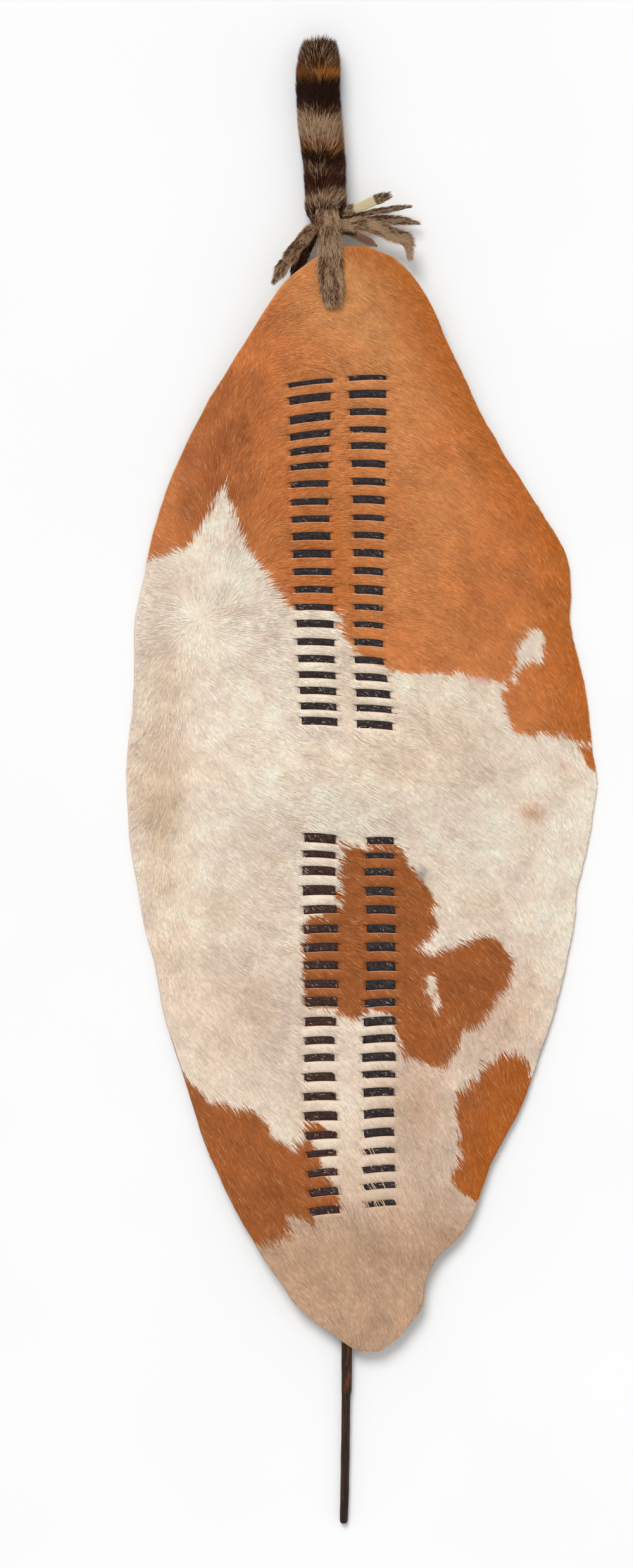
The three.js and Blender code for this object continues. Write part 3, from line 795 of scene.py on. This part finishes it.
def wall_faces(kept, index, under):
    """Upright faces between the face and the back where a kept cell of the grid borders an open one:
    along the rows first, then along the columns, all turned outward."""
    padded = np.pad(kept, 1).astype(int)
    every, but_last, but_first = slice(None), slice(None, -1), slice(1, None)
    walls = []
    for gain, first, second, sense in (
            (padded[1:, 1:-1] - padded[:-1, 1:-1], (every, but_last), (every, but_first), 1),
            (padded[1:-1, 1:] - padded[1:-1, :-1], (but_last, every), (but_first, every), -1)):
        for sign in (1, -1):
            pick = gain == sign
            ring = [index[first][pick], index[second][pick], under[second][pick], under[first][pick]]
            walls.append(np.stack(ring if sign * sense > 0 else ring[::-1], -1))
    return walls


def edge_tones_and_painted_shade(centre, up_facing):
    """How dark each wall of the cuts is painted, from its middle: the walls that face the foot, away from the
    light, are dark with painted shade and those that face the head pale as if lit; the outline pale above
    and dark below, the lower lacing in between."""
    x, y = centre[:, 0], centre[:, 1]
    outer = (x < hide_edge(0, y) + 3) | (x > hide_edge(1, y) - 3)
    tone = np.where(up_facing, 0.1, 0.75)
    tone = np.where(outer, np.where(y < -330, 0.85, 0.15), tone)
    return np.where(~outer & (y < 0), tone * 0.6 + 0.3, tone)


def make_hide():
    """The hide as one sheet: a face and a back of one grid whose lines follow the slits, open at the
    slits, with walls round every opening and round the outline. The lips lean out under the face, so
    that the cut shows as a thin line."""
    upper = group_lines(UPPER_LEFT, UPPER_RIGHT)
    lower = group_lines(LOWER_LEFT, LOWER_RIGHT)
    lines = (end_lines(upper[0], HIDE_TOP)[::-1] + upper + between_lines(upper[-1], lower[0]) + lower
             + end_lines(lower[-1], HIDE_BOTTOM))
    knots_x, knots_y, bows, slits, arched = map(np.array, zip(*lines))
    knots = np.arange(len(KNOT_SHARES))
    stations = np.concatenate([[0]] + [k + np.arange(1, n + 1) / n for k, n in enumerate(KNOT_STEPS)])
    level = ease(np.interp(stations, knots, [0, 0, 1, 1, 0, 0, 1, 1, 0, 0]))
    x = np.array([np.interp(stations, knots, row) for row in knots_x])
    y = np.array([np.interp(stations, knots, row) for row in knots_y])
    for knot in STRIP_KNOTS:
        arch = CELL_ARCH * np.maximum(1 - (2 * (stations - knot) - 1) ** 2, 0)
        y = y + arch[None, :] * arched[:, None]
    middle = hide_middle(x, y) + bows[:, None] * level[None, :]
    grain = 0.25 * wander(x, y, 14, 21)
    face = np.stack([x, y, middle + HIDE_THICKNESS / 2 + grain], -1)
    back = np.stack([x, y, middle - HIDE_THICKNESS / 2], -1)
    slits = slits[:-1]
    is_lip = bows == BAR_LIP
    top_lip = is_lip & np.append(slits, False)
    low_lip = is_lip & np.insert(slits, 0, False)
    back[..., 1] += LIP_LEAN * (low_lip.astype(int) - top_lip)[:, None] * level[None, :]
    back[:, 0, 0] -= RIM_LEAN[0]
    back[:, -1, 0] += RIM_LEAN[1]
    back[..., 2] = np.maximum(back[..., 2], 0.1)
    face[..., 2] = np.maximum(face[..., 2], back[..., 2] + 1.2)
    in_slit = np.concatenate([np.full(n, k in SLIT_KNOTS) for k, n in enumerate(KNOT_STEPS)])
    kept = ~(slits[:, None] & in_slit[None, :])
    index = np.arange(x.size).reshape(x.shape)
    under = index + x.size
    corner = [index[:-1, :-1][kept], index[1:, :-1][kept], index[1:, 1:][kept], index[:-1, 1:][kept]]
    walls = wall_faces(kept, index, under)
    quads = [np.stack(corner, -1), np.stack(corner[::-1], -1) + x.size, np.concatenate(walls)]
    points = np.concatenate([face.reshape(-1, 3), back.reshape(-1, 3)])
    up_facing = np.arange(len(quads[2])) < len(walls[0])
    kinds = np.repeat([0, 1, 2], [len(part) for part in quads])
    # painted shade on the cut walls: those facing the foot, away from the light, are darkened
    tones_and_painted_shade = np.zeros(len(kinds))
    tones_and_painted_shade[kinds == 2] = edge_tones_and_painted_shade(points[quads[2]].mean(1), up_facing)
    skin = coat_colour(points[:, 0], points[:, 1], np.zeros(len(points)))[0]
    make_piece("hide", points, quads, [coat_skin(), flesh_side(), cut_edge()],
               ["shield_hide"], tint=skin * 0.97, kinds=kinds, tones_and_painted_shade=tones_and_painted_shade)


# ---- the coat ------------------------------------------------------------------------------------

COAT_HAIRS = 172000
COAT_PIECES = 4
HAIR_LENGTH = 14.5
HAIR_WIDTH = 0.95
# How often a hair may be cut back, to what share of its length, and the least length left
TRIMS, TRIM, SHORTEST = 9, 0.78, 2


def hair_lay(x, y):
    """Direction of the tips over the hide: the table's directions, each weighed by nearness."""
    lay = np.array(HAIR_LAY, float)
    across, along = np.zeros(x.shape), np.zeros(x.shape)
    for at_x, at_y, degrees in lay:
        weight = ((x - at_x) ** 2 + (y - at_y) ** 2 + 150) ** -1.6
        across += weight * math.cos(math.radians(degrees))
        along += weight * math.sin(math.radians(degrees))
    return np.arctan2(along, across)


def over_hide(x, y, margin):
    """Whether points lie over the hide, or less than a margin beyond its edge."""
    along = (y < HIDE_TOP + margin) & (y > HIDE_BOTTOM - margin)
    return along & (x > hide_edge(0, y) - margin) & (x < hide_edge(1, y) + margin)


def make_coat():
    """The coat: hairs rooted all over the face, laid along the lay with a waver in locks, shortened
    where they would cross a cell or hang far over the edge, darkened at the root as painted shade and light
    at the tip, with bands of painted sheen and shade mixed with uneven colour."""
    draw = draws(31)
    x = draw.uniform(-312, 312, COAT_HAIRS * 2)
    y = draw.uniform(HIDE_BOTTOM, HIDE_TOP, COAT_HAIRS * 2)
    good = over_hide(x, y, -0.3) & ~in_cell(x, y, 0.2)
    x, y = x[good][:COAT_HAIRS], y[good][:COAT_HAIRS]
    count = len(x)
    angle = hair_lay(x, y)
    angle += 0.16 * wander(x, y, 34, 32) + 0.2 * wander(x, y, 9, 33) + draw.normal(0, 0.09, count)
    wild = mound(x, y, 170, -400, 120, 170) + mound(x, y, 110, 60, 90, 70)
    angle += 0.35 * wild * wander(x, y, 16, 34)
    longer = 1 + 0.35 * ease((-250 - y) / 200) - 0.2 * ease((y - 480) / 120)
    length = HAIR_LENGTH * longer * draw.uniform(0.75, 1.2, count)
    bend = draw.normal(0, 0.12, count) + 0.25 * wander(x, y, 13, 35)
    stray = draw.uniform(0, 1, count) < 0.006
    for trial in range(TRIMS):
        mid_x = x + length * 0.5 * np.cos(angle - bend / 2)
        mid_y = y + length * 0.5 * np.sin(angle - bend / 2)
        tip_x = mid_x + length * 0.5 * np.cos(angle + bend / 2)
        tip_y = mid_y + length * 0.5 * np.sin(angle + bend / 2)
        bad = in_cell(tip_x, tip_y, -0.4) | in_cell(mid_x, mid_y, -0.4)
        bad |= in_cell((tip_x + mid_x) / 2, (tip_y + mid_y) / 2, -0.4)
        bad = (bad & ~stray) | ~over_hide(tip_x, tip_y, 0.8)
        length = np.where(bad, length * TRIM, length)
    long_enough = length >= SHORTEST
    lift = draw.uniform(0.4, 1.4, count) * np.minimum(length / 10, 1) + 0.6 * wander(x, y, 11, 36)
    lift = np.maximum(lift, 0.4)
    root = np.stack([x, y, hide_face(x, y) - 0.1], -1)
    mid = np.stack([mid_x, mid_y, hide_face(mid_x, mid_y) + 0.8 * lift], -1)
    tip = np.stack([tip_x, tip_y, hide_face(tip_x, tip_y) + lift * draw.uniform(0.7, 1.15, count)], -1)
    roll = 0.4 * wander(x, y, 5, 37) + draw.normal(0, 0.2, count)
    along = np.stack([np.cos(angle), np.sin(angle)], -1)
    side = np.stack([along[:, 1] * np.cos(roll), -along[:, 0] * np.cos(roll), np.sin(roll)], -1)
    width = HAIR_WIDTH * draw.uniform(0.65, 1.25, count)
    ragged = draw.normal(0, 1.8, count) + 2.5 * wander(x, y, 10, 38) + 2 * wander(x, y, 26, 39)
    colour, brown = coat_colour(x, y, ragged)
    # painted sheen and shade: lighter bands along the crests of the locks and darker ones between, mixed with
    # uneven colour
    painted_sheen_bands = 0.05 * wander(x, y, 7, 40) + 0.1 * wander(x, y, 30, 41) + 0.07 * wander(x, y, 13, 42)
    colour = colour * (1 + draw.normal(0, 0.07, count) + painted_sheen_bands)[:, None]
    pale_share = np.where(brown, draw.uniform(0, 1, count) > 0.93, 0) * 0.35
    colour = blend_colours(colour, PALE_HAIR, pale_share)
    # painted shade: each hair is darker at its root, under the hairs that lie over it
    painted_root_shade = np.where(brown[:, None], ROOT_SHADE_OF_BROWN, ROOT_SHADE_OF_CREAM)
    light_tip = np.where(brown, 1.12, 1.04)[:, None]
    colours = np.clip(np.stack([colour * painted_root_shade, colour, colour * light_tip], 1), 0, 0.97)
    finish = coat_hair()
    paths = np.stack([root, mid, tip], 1)
    part = np.arange(count) % COAT_PIECES
    for number in range(COAT_PIECES):
        pick = (part == number) & long_enough
        hair_piece(f"coat_hair_{number + 1}", paths[pick], side[pick], width[pick], colours[pick],
                   finish)


# ---- the lacing ----------------------------------------------------------------------------------

STRIP_THICKNESS = 1.8
# Height of a strip's middle from the hide's: behind the bars, over the cells, and its arch there
STRIP_BEHIND, STRIP_OVER, STRIP_ARCH = -3.6, 0.6, 0.5
STRIP_END = 12  # how far a strip runs on past its last rows
# Rows of a strip round each cell, in half cells from its middle
STRIP_ROWS = np.array([1.4, 1.12, 1.0, 0.92, 0.82, 0.45, 0, -0.45, -0.82, -0.92, -1.0, -1.12, -1.4])
STRIP_HAIRS = 210  # on each cell
TUFT_REACH, TUFT_LOWEST = 4, -300  # the pale tufts: how far over the cells, and how far down the shield


def strip_offset(column, y):
    """Height of a strip's middle from the hide's: over the cell with a small arch, behind between."""
    place = nearest_cell(column, y)
    off = np.abs(y - np.array(column["y"])[place]) / (np.array(column["cell"])[place] / 2)
    over = STRIP_OVER + STRIP_ARCH * np.maximum(1 - off**2, 0)
    return over + (STRIP_BEHIND - over) * ease((off - 0.84) / 0.22)


def make_strip(name, column, finish, dark, light, tufts):
    """A strip woven through its column: a thin closed band along the shield, with short hair on the
    cells, a few of them pale, and pale tufts over the cells' left ends where tufts is 1."""
    middles, halves = np.array(column["y"]), np.array(column["cell"]) / 2
    along = (middles[:, None] + halves[:, None] * STRIP_ROWS).ravel()
    along = np.concatenate([[along[0] + STRIP_END], along, [along[-1] - STRIP_END]])
    y0, s = np.meshgrid(along, np.linspace(0, 1, 9), indexing="ij")
    left = column_edge(column, 0, y0) + 0.5 + 0.5 * wander(y0, y0 * 0, 9, 51)
    right = column_edge(column, 1, y0) - 0.5 + 0.5 * wander(y0, y0 * 0 + 40, 9, 52)
    x = left + (right - left) * s
    y = cell_line(column, x, y0)
    z = hide_middle(x, y) + strip_offset(column, y0) + 0.25 * wander(x, y, 8, 53)
    thick = STRIP_THICKNESS / 2 * (1 - 0.35 * (2 * s - 1) ** 6)
    top, low = np.stack([x, y, z + thick], -1), np.stack([x, y, z - thick], -1)
    closed_ring(name + "_band", np.concatenate([top, low[:, ::-1]], 1), finish, name)
    draw = draws(54 + len(name))
    cell, half = np.repeat(middles, STRIP_HAIRS), np.repeat(halves, STRIP_HAIRS)
    count = len(cell)
    y = cell + draw.uniform(-0.95, 0.95, count) * half
    left, right = column_edge(column, 0, y), column_edge(column, 1, y)
    x = left + (right - left) * draw.uniform(0.01, 0.99, count)
    angle = -0.5 + 0.9 * wander(cell, cell * 0, 30, 55) + draw.normal(0, 0.35, count)
    length = draw.uniform(3.5, 7, count)
    tip_y = np.clip(y + length * np.sin(angle), cell - half * 0.97, cell + half * 0.97)
    tip_x = np.clip(x + length * np.cos(angle), left + 0.3, right - 0.3)
    lift = draw.uniform(0.3, 1.1, count)

    def on_strip(at_x, at_y, height):
        line = cell_line(column, at_x, at_y)
        top = hide_middle(at_x, line) + strip_offset(column, at_y) + STRIP_THICKNESS / 2
        return np.stack([at_x, line, top + height], -1)
    root = on_strip(x, y, -0.1)
    tip = on_strip(tip_x, tip_y, lift)
    mid = (root + tip) / 2 + lift[:, None] * [0, 0, 0.25]
    side = np.stack([np.sin(angle), -np.cos(angle), draw.normal(0, 0.3, count)], -1)
    width = draw.uniform(0.3, 0.6, count)
    share = draw.uniform(0, 1, count) ** 1.6
    colour = blend_colours(np.broadcast_to(linear(dark), (count, 3)), linear(light), share)
    tufted = tufts * (x - left < TUFT_REACH) * (cell > TUFT_LOWEST)
    pale = draw.uniform(0, 1, count) < 0.015 + 0.02 * (cell < 240) + 0.3 * tufted
    colour = np.where(pale[:, None], CREAM * 0.8, colour)
    colours = np.stack([colour * 0.8, colour, colour * 1.35], 1)
    hair_piece(name + "_hair", np.stack([root, mid, tip], 1), side, width, colours, LACING_HAIR)


# ---- the stick, the ties and the fur -------------------------------------------------------------


def tube(centre, radius_across, radius_up, sides, ripple, number):
    """Rings round a line of points that runs along the shield: ellipses with a ripple, as a grid of
    points, one row for each ring."""
    turn = 2 * np.pi * np.arange(sides) / sides
    along, round_it = np.meshgrid(centre[:, 1], turn * 30, indexing="ij")
    wave = 1 + ripple * wander(along, round_it, 14, number)
    x = centre[:, :1] + radius_across[:, None] * np.cos(turn) * wave
    z = centre[:, 2:] + radius_up[:, None] * np.sin(turn) * wave
    return np.stack([x, np.broadcast_to(centre[:, 1:2], x.shape), z], -1)


def make_stick():
    """The stick: a tapered round along the table's line, with a carved ripple, knots and a step."""
    y = np.unique(np.concatenate([np.linspace(-971.6, 900, 240), [-971, -970, -968, -804, -800, -796]]))
    centre = np.stack([through_rows(STICK, 1, y), y, through_rows(STICK, 2, y)], -1)
    radius = through_rows(STICK, 3, y)
    rings = tube(centre, radius, radius, 20, 0.05, 61)
    rings[..., 2] = np.maximum(rings[..., 2], 0.05)
    closed_ring("shield_stick", rings, stick_wood(), "stick", flip=True)


# The wrap, fur and all: y, x, half its width, half its height
FUR_WRAP = [
    (972, -56, 12, 10), (967, -56, 19, 17), (950, -57, 26, 22), (925, -58, 28.5, 24), (890, -57, 29, 24.4),
    (850, -54, 29, 24.4), (810, -50, 27.5, 24), (776, -48, 26, 22), (760, -48, 27, 21.5),
    (744, -47.5, 24, 19), (739, -47, 21, 16), (728, -47, 15, 12),
]
WRAP_MIDDLE = 23.93
WRAP_HAIRS = 40000
FUR_DARK, FUR_MID = linear("26110a"), linear("683820")
FUR_GOLD, FUR_PALE = linear("c8823a"), linear("d8b48e")
# Bands of the wrap's fur: y, share of dark, share of gold, share of pale
FUR_BANDS = [
    (985, 0.5, 0.0, 0.15), (962, 0.6, 0.0, 0.3), (946, 0.4, 0.35, 0.2), (934, 0.1, 0.9, 0.1),
    (922, 0.7, 0.2, 0.0), (905, 0.95, 0.0, 0.05), (888, 0.6, 0.05, 0.2), (878, 0.2, 0.2, 0.6),
    (862, 0.2, 0.1, 0.7), (848, 0.2, 0.2, 0.65), (836, 0.3, 0.45, 0.3), (824, 0.8, 0.1, 0.05),
    (806, 0.5, 0.05, 0.35), (792, 0.6, 0.1, 0.05), (780, 0.5, 0.1, 0.2), (770, 0.2, 0.05, 0.7),
    (758, 0.7, 0.0, 0.2), (740, 0.6, 0.0, 0.3), (720, 0.5, 0, 0.4),
]


def fur_colours(shares_dark, shares_gold, shares_pale):
    """Hair colours from the shares of dark, gold and pale in mid brown."""
    colour = np.broadcast_to(FUR_MID, shares_dark.shape + (3,))
    colour = blend_colours(colour, FUR_DARK, shares_dark)
    colour = blend_colours(colour, FUR_GOLD, shares_gold)
    return blend_colours(colour, FUR_PALE, shares_pale)


def make_fur_wrap():
    """The fur on the stick's head: a dark core, and hair in bands that points up and fans out."""
    y = np.linspace(730, 971, 70)
    middle, half_w, half_h = [through_rows(FUR_WRAP, column, y) for column in (1, 2, 3)]
    centre = np.stack([middle, y, np.full(len(y), WRAP_MIDDLE)], -1)
    rings = tube(centre, half_w * 0.72, half_h * 0.74, 36, 0.1, 62)
    rings[..., 2] = np.maximum(rings[..., 2], 1)
    closed_ring("wrap_core", rings, fur_skin(), "fur_wrap", flip=True)
    draw = draws(63)
    count = WRAP_HAIRS
    y = draw.uniform(728, 969, count)
    turn = draw.uniform(0, 2 * np.pi, count)
    cosine, sine, level = np.cos(turn), np.sin(turn), np.zeros(count)
    middle, half_w, half_h = [through_rows(FUR_WRAP, column, y) for column in (1, 2, 3)]
    root = np.stack([middle + 0.78 * half_w * cosine, y, WRAP_MIDDLE + 0.7 * half_h * sine], -1)
    normal = np.stack([cosine, level, sine], -1)
    around = np.stack([-sine, level, cosine], -1)
    length = draw.uniform(12, 21, count) * (1 - 0.25 * cosine**2)
    open_out = (0.4 + 0.4 * cosine**2 + 0.14 * wander(y, turn * 10, 12, 64)
                + draw.normal(0, 0.08, count))
    swirl = 0.4 * wander(y, turn * 12, 16, 65) - 0.85 * cosine * sine + draw.normal(0, 0.18, count)
    heading = np.stack([level, np.cos(swirl), level], -1) + around * np.sin(swirl)[:, None]
    paths, side = hair_paths(root, heading, normal, length, open_out, 0.35, draw.normal(0, 0.4, count))
    # the bands show at the tips, and start a little lower at the roots
    at = paths[:, 2, 1] + 5 * wander(turn * 9, y, 16, 66) - 6 + draw.normal(0, 3, count)
    shares = [np.clip(1.5 * through_rows(FUR_BANDS, column, at) - 0.2, 0, 1) for column in (1, 2, 3)]
    pick = draw.uniform(0, 1, (3, count)) < np.stack(shares)
    left = cosine < 0
    gold = pick[1] * np.where(left & (at > 915), 0.3, 1)
    pale = pick[2] * np.where(left | (at < 800) | (at > 830), 1, 0.2)
    colour = fur_colours(pick[0] * 0.9, gold * 0.85, pale * 0.85)
    colour = colour * draw.uniform(0.8, 1.15, count)[:, None]
    colours = np.stack([FUR_DARK * 0.7 + colour * 0.2, colour * 0.8, colour * 1.15], 1)
    hair_piece("wrap_hair", paths, side, draw.uniform(0.4, 0.75, count), colours, FUR_HAIR)


def flat_band(route, width, thickness, rows, columns, ends):
    """A flat strip along a route: across it a shallow arch, its width drawn in to a share of itself at
    both ends. Returns points of its face and back, and the directions of each row."""
    route = np.array(route, float)
    steps = np.concatenate([[0], np.cumsum(np.linalg.norm(np.diff(route, axis=0), axis=1))])
    table = [(step, *point) for step, point in zip(steps, route)]
    t = np.linspace(0, 1, rows)
    line = np.stack([through_rows(table, column, t * steps[-1]) for column in (1, 2, 3)], -1)
    forward = np.gradient(line, axis=0)
    forward = forward / np.linalg.norm(forward, axis=1, keepdims=True)
    across = np.cross(forward, [0, 0, 1.0])
    across = across / np.linalg.norm(across, axis=1, keepdims=True)
    upward = np.cross(across, forward)
    shape = (1 - (1 - ends[0]) * (1 - ease(t / 0.25))) * (1 - (1 - ends[1]) * ease((t - 0.8) / 0.2))
    s = np.linspace(-1, 1, columns)
    arch = thickness * 0.25 * (1 - s**2)
    flat = line[:, None] + across[:, None] * (width / 2 * shape[:, None] * s)[..., None]
    top = flat + upward[:, None] * (arch + thickness * 0.3)[None, :, None]
    low = flat + upward[:, None] * (arch - thickness * 0.3)[None, :, None]
    return top, low, across, upward, forward


def make_fur_strip(name, route, width, thickness, length, shares, hairs, skin="8a6250",
                   ends=(0.55, 0.25), bare=()):
    """A strip of fur: a skin band, and hairs on its face that lie along it. shares are those of dark,
    gold and pale hair, bare the span of the strip that shows its skin."""
    rows, columns = 28, 9
    top, low, across, upward, forward = flat_band(route, width, thickness, rows, columns, ends)
    ring = np.concatenate([top, low[:, ::-1]], 1)
    ring[..., 2] = np.maximum(ring[..., 2], 0.3)
    tint = np.broadcast_to(linear(skin), ring.shape).copy()
    tint[:, [0, columns - 1]] = linear("e9d8bd")
    tint[:, columns:] = linear("d8c3a0")
    closed_ring(name + "_band", ring, STRIP_FLESH, name, flip=True, tint=tint.reshape(-1, 3))
    draw = draws(70 + sum(map(ord, name)))
    t = draw.uniform(0, 1, hairs)
    if bare:
        t = t[(t < bare[0]) | (t > bare[1])]
    count = len(t)
    s = draw.uniform(-1, 1, count)
    row, column = t * (rows - 1), (s + 1) / 2 * (columns - 1)
    i, j = np.minimum(row.astype(int), rows - 2), np.minimum(column.astype(int), columns - 2)
    down, along = (row - i)[:, None], (column - j)[:, None]
    root = ((top[i, j] * (1 - along) + top[i, j + 1] * along) * (1 - down)
            + (top[i + 1, j] * (1 - along) + top[i + 1, j + 1] * along) * down)
    size = draw.uniform(0.7, 1.2, count) * length
    angle = 0.25 * s + 0.35 * wander(t * 100, s * 20, 14, 71) + draw.normal(0, 0.16, count)
    heading = forward[i] * np.cos(angle)[:, None] + across[i] * np.sin(angle)[:, None]
    open_out = draw.uniform(0.1, 0.36, count)
    paths, side = hair_paths(root, heading, upward[i], size, open_out, 0.2, draw.normal(0, 0.4, count))
    streak = np.clip(0.5 + 1.1 * wander(t * 40, s * 14, 6, 72 + len(name)), 0, 1)
    pick = draw.uniform(0, 1, (3, count)) < np.array(shares)[:, None] * (0.5 + streak)
    colour = fur_colours(pick[0] * 0.85, pick[1] * 0.7, pick[2] * 0.85)
    colour = colour * draw.uniform(0.8, 1.15, count)[:, None]
    colours = np.stack([FUR_DARK * 0.8 + colour * 0.15, colour * 0.8, colour * 1.1], 1)
    hair_piece(name + "_hair", paths, side, draw.uniform(0.3, 0.5, count), colours, FUR_HAIR)


# The hanging strips: the route of each from under the wrap to its tip, as x, y, z
FUR_STRIPS = [
    dict(name="fur_strip_front", route=[(-46, 756, 38), (-44, 738, 43), (-41, 665, 42.2), (-39, 632, 41.6)],
         width=30, thickness=4, length=9, shares=(0.5, 0.05, 0.5), hairs=11000, ends=(0.9, 0.7)),
    dict(name="fur_strip_right_top", route=[(-34, 748, 30), (-3, 758, 30), (14, 766, 29), (35, 773, 27)],
         width=13, thickness=3.4, length=6, shares=(0.45, 0, 0.4), hairs=1200, skin="d2bf98",
         bare=(0.3, 0.72), ends=(0.55, 0.6)),
    dict(name="fur_strip_right_thin", route=[(-34, 743, 25), (-3, 748, 25), (25, 754, 24), (62, 759, 21)],
         width=6.5, thickness=2.8, length=6, shares=(0.45, 0, 0.4), hairs=1900),
    dict(name="fur_strip_right_curl", route=[(-36, 738, 21), (-4, 740, 20), (34, 743, 18), (71, 738, 15)],
         width=10, thickness=3, length=7, shares=(0.35, 0, 0.5), hairs=2500),
    dict(name="fur_strip_right_long",
         route=[(-36, 736, 36), (3, 733, 36), (35, 724, 35), (57, 714, 33), (61, 696, 31)],
         width=15, thickness=3.6, length=11, shares=(0.25, 0.1, 0.7), hairs=5200),
    dict(name="fur_strip_right_short", route=[(-38, 733, 15), (-14, 727, 15), (2, 718, 15), (20, 708, 14)],
         width=12, thickness=3.2, length=6, shares=(0.5, 0, 0.3), hairs=900, skin="b98a78", bare=(0.45, 1.0)),
    dict(name="fur_strip_left_long", route=[(-58, 734, 36), (-80, 712, 37), (-98, 688, 36), (-115, 662, 34)],
         width=16, thickness=3.6, length=8, shares=(0.4, 0.05, 0.5), hairs=3600, bare=(0.6, 0.7)),
    dict(name="fur_strip_left_grey", route=[(-62, 736, 26), (-77, 719, 25), (-86, 704, 21), (-92, 690, 16)],
         width=12, thickness=3, length=9, shares=(0.1, 0, 0.9), hairs=2200),
    dict(name="fur_strip_back", route=[(-58, 736, 14), (-71, 712, 12), (-82, 688, 9), (-90, 662, 6)],
         width=16, thickness=3.2, length=7, shares=(0.85, 0, 0.15), hairs=2000),
]

TIES = {"stick_tie_1": 470, "stick_tie_2": 150, "stick_tie_3": -150, "stick_tie_4": -500}  # y of each
TIE_REACH, TIE_HALF_WIDTH, TIE_THICKNESS = 34, 8, 1.4


def make_tie(name, y, finish):
    """A rawhide tie: a flat band across the back of the bars that dips round the stick, its face
    wavy."""
    x0, z0, radius = [float(through_rows(STICK, column, y)) for column in (1, 2, 3)]
    flat = z0 + radius - 2.0
    across = np.linspace(-TIE_REACH, TIE_REACH, 61)
    bend = radius + 1.7
    dip = np.sqrt(np.maximum(bend**2 - across**2, 0))
    height = np.where(np.abs(across) < bend, z0 - dip, z0)
    height = height + (flat - height) * ease((np.abs(across) - bend * 0.9) / 7)
    s = np.linspace(-1, 1, 9)
    xx = x0 + across[:, None] + 0 * s
    yy = y + TIE_HALF_WIDTH * s[None, :] + 0.6 * wander(across, across * 0 + y, 9, 80)[:, None]
    zz = height[:, None] + 0.2 * wander(xx, yy, 5, 81)
    top = np.stack([xx, yy, zz + TIE_THICKNESS / 2], -1)
    low = np.stack([xx, yy, zz - TIE_THICKNESS / 2], -1)
    closed_ring(name + "_band", np.concatenate([top, low[:, ::-1]], 1), finish, name)


# ---- camera and light ----------------------------------------------------------------------------


def make_studio():
    """A pale floor, a white sky and one broad soft light from the head end, and the camera straight
    above the shield."""
    span = 40000
    floor = bpy.data.meshes.new("studio_floor")
    corners = [(-span, -span, -0.2), (span, -span, -0.2), (span, span, -0.2), (-span, span, -0.2)]
    floor.from_pydata([tuple(v * MM for v in corner) for corner in corners], [], [(0, 1, 2, 3)])
    floor.materials.append(floor_finish())
    piece = bpy.data.objects.new("studio_floor", floor)
    bpy.context.scene.collection.objects.link(piece)
    world = bpy.data.worlds.new("white_room")
    bpy.context.scene.world = world
    world.use_nodes = True
    background = world.node_tree.nodes["Background"]
    background.inputs["Color"].default_value = (1, 1, 1, 1)
    background.inputs["Strength"].default_value = 0.62
    sun = bpy.data.lights.new("soft_key", "SUN")
    sun.energy = 1.9
    sun.angle = math.radians(30)
    key = bpy.data.objects.new("soft_key", sun)
    key.rotation_euler = (math.radians(-38), math.radians(-16), 0)
    bpy.context.scene.collection.objects.link(key)
    lens = bpy.data.cameras.new("camera")
    lens.lens = 140
    lens.sensor_width = 36
    lens.clip_end = 100
    camera = bpy.data.objects.new("camera", lens)
    camera.location = (-0.0598, 0.0012, 8.03)
    bpy.context.scene.collection.objects.link(camera)
    bpy.context.scene.camera = camera
    bpy.context.scene.view_settings.view_transform = "Standard"


make_studio()
LACING_HAIR = fur_hair()
FUR_HAIR = fur_hair()
STRIP_FLESH = strip_flesh()
make_hide()
make_coat()
black_strip = strip_skin("lacing_black", "161113", "3a2f31")
brown_strip = strip_skin("lacing_brown", "1f1311", "4a302b")
for strip_name, strip_column in COLUMNS.items():
    is_brown = strip_name == "lower_left"
    hair_of_strip = ("2e1c19", "7d5c50", 1) if is_brown else ("1f191a", "6a5c58", 0)
    make_strip("lacing_" + strip_name, strip_column, brown_strip if is_brown else black_strip, *hair_of_strip)
make_stick()
tie_finish = rawhide()
for tie_name, tie_y in TIES.items():
    make_tie(tie_name, tie_y, tie_finish)
make_fur_wrap()
for strip in FUR_STRIPS:
    make_fur_strip(**strip)
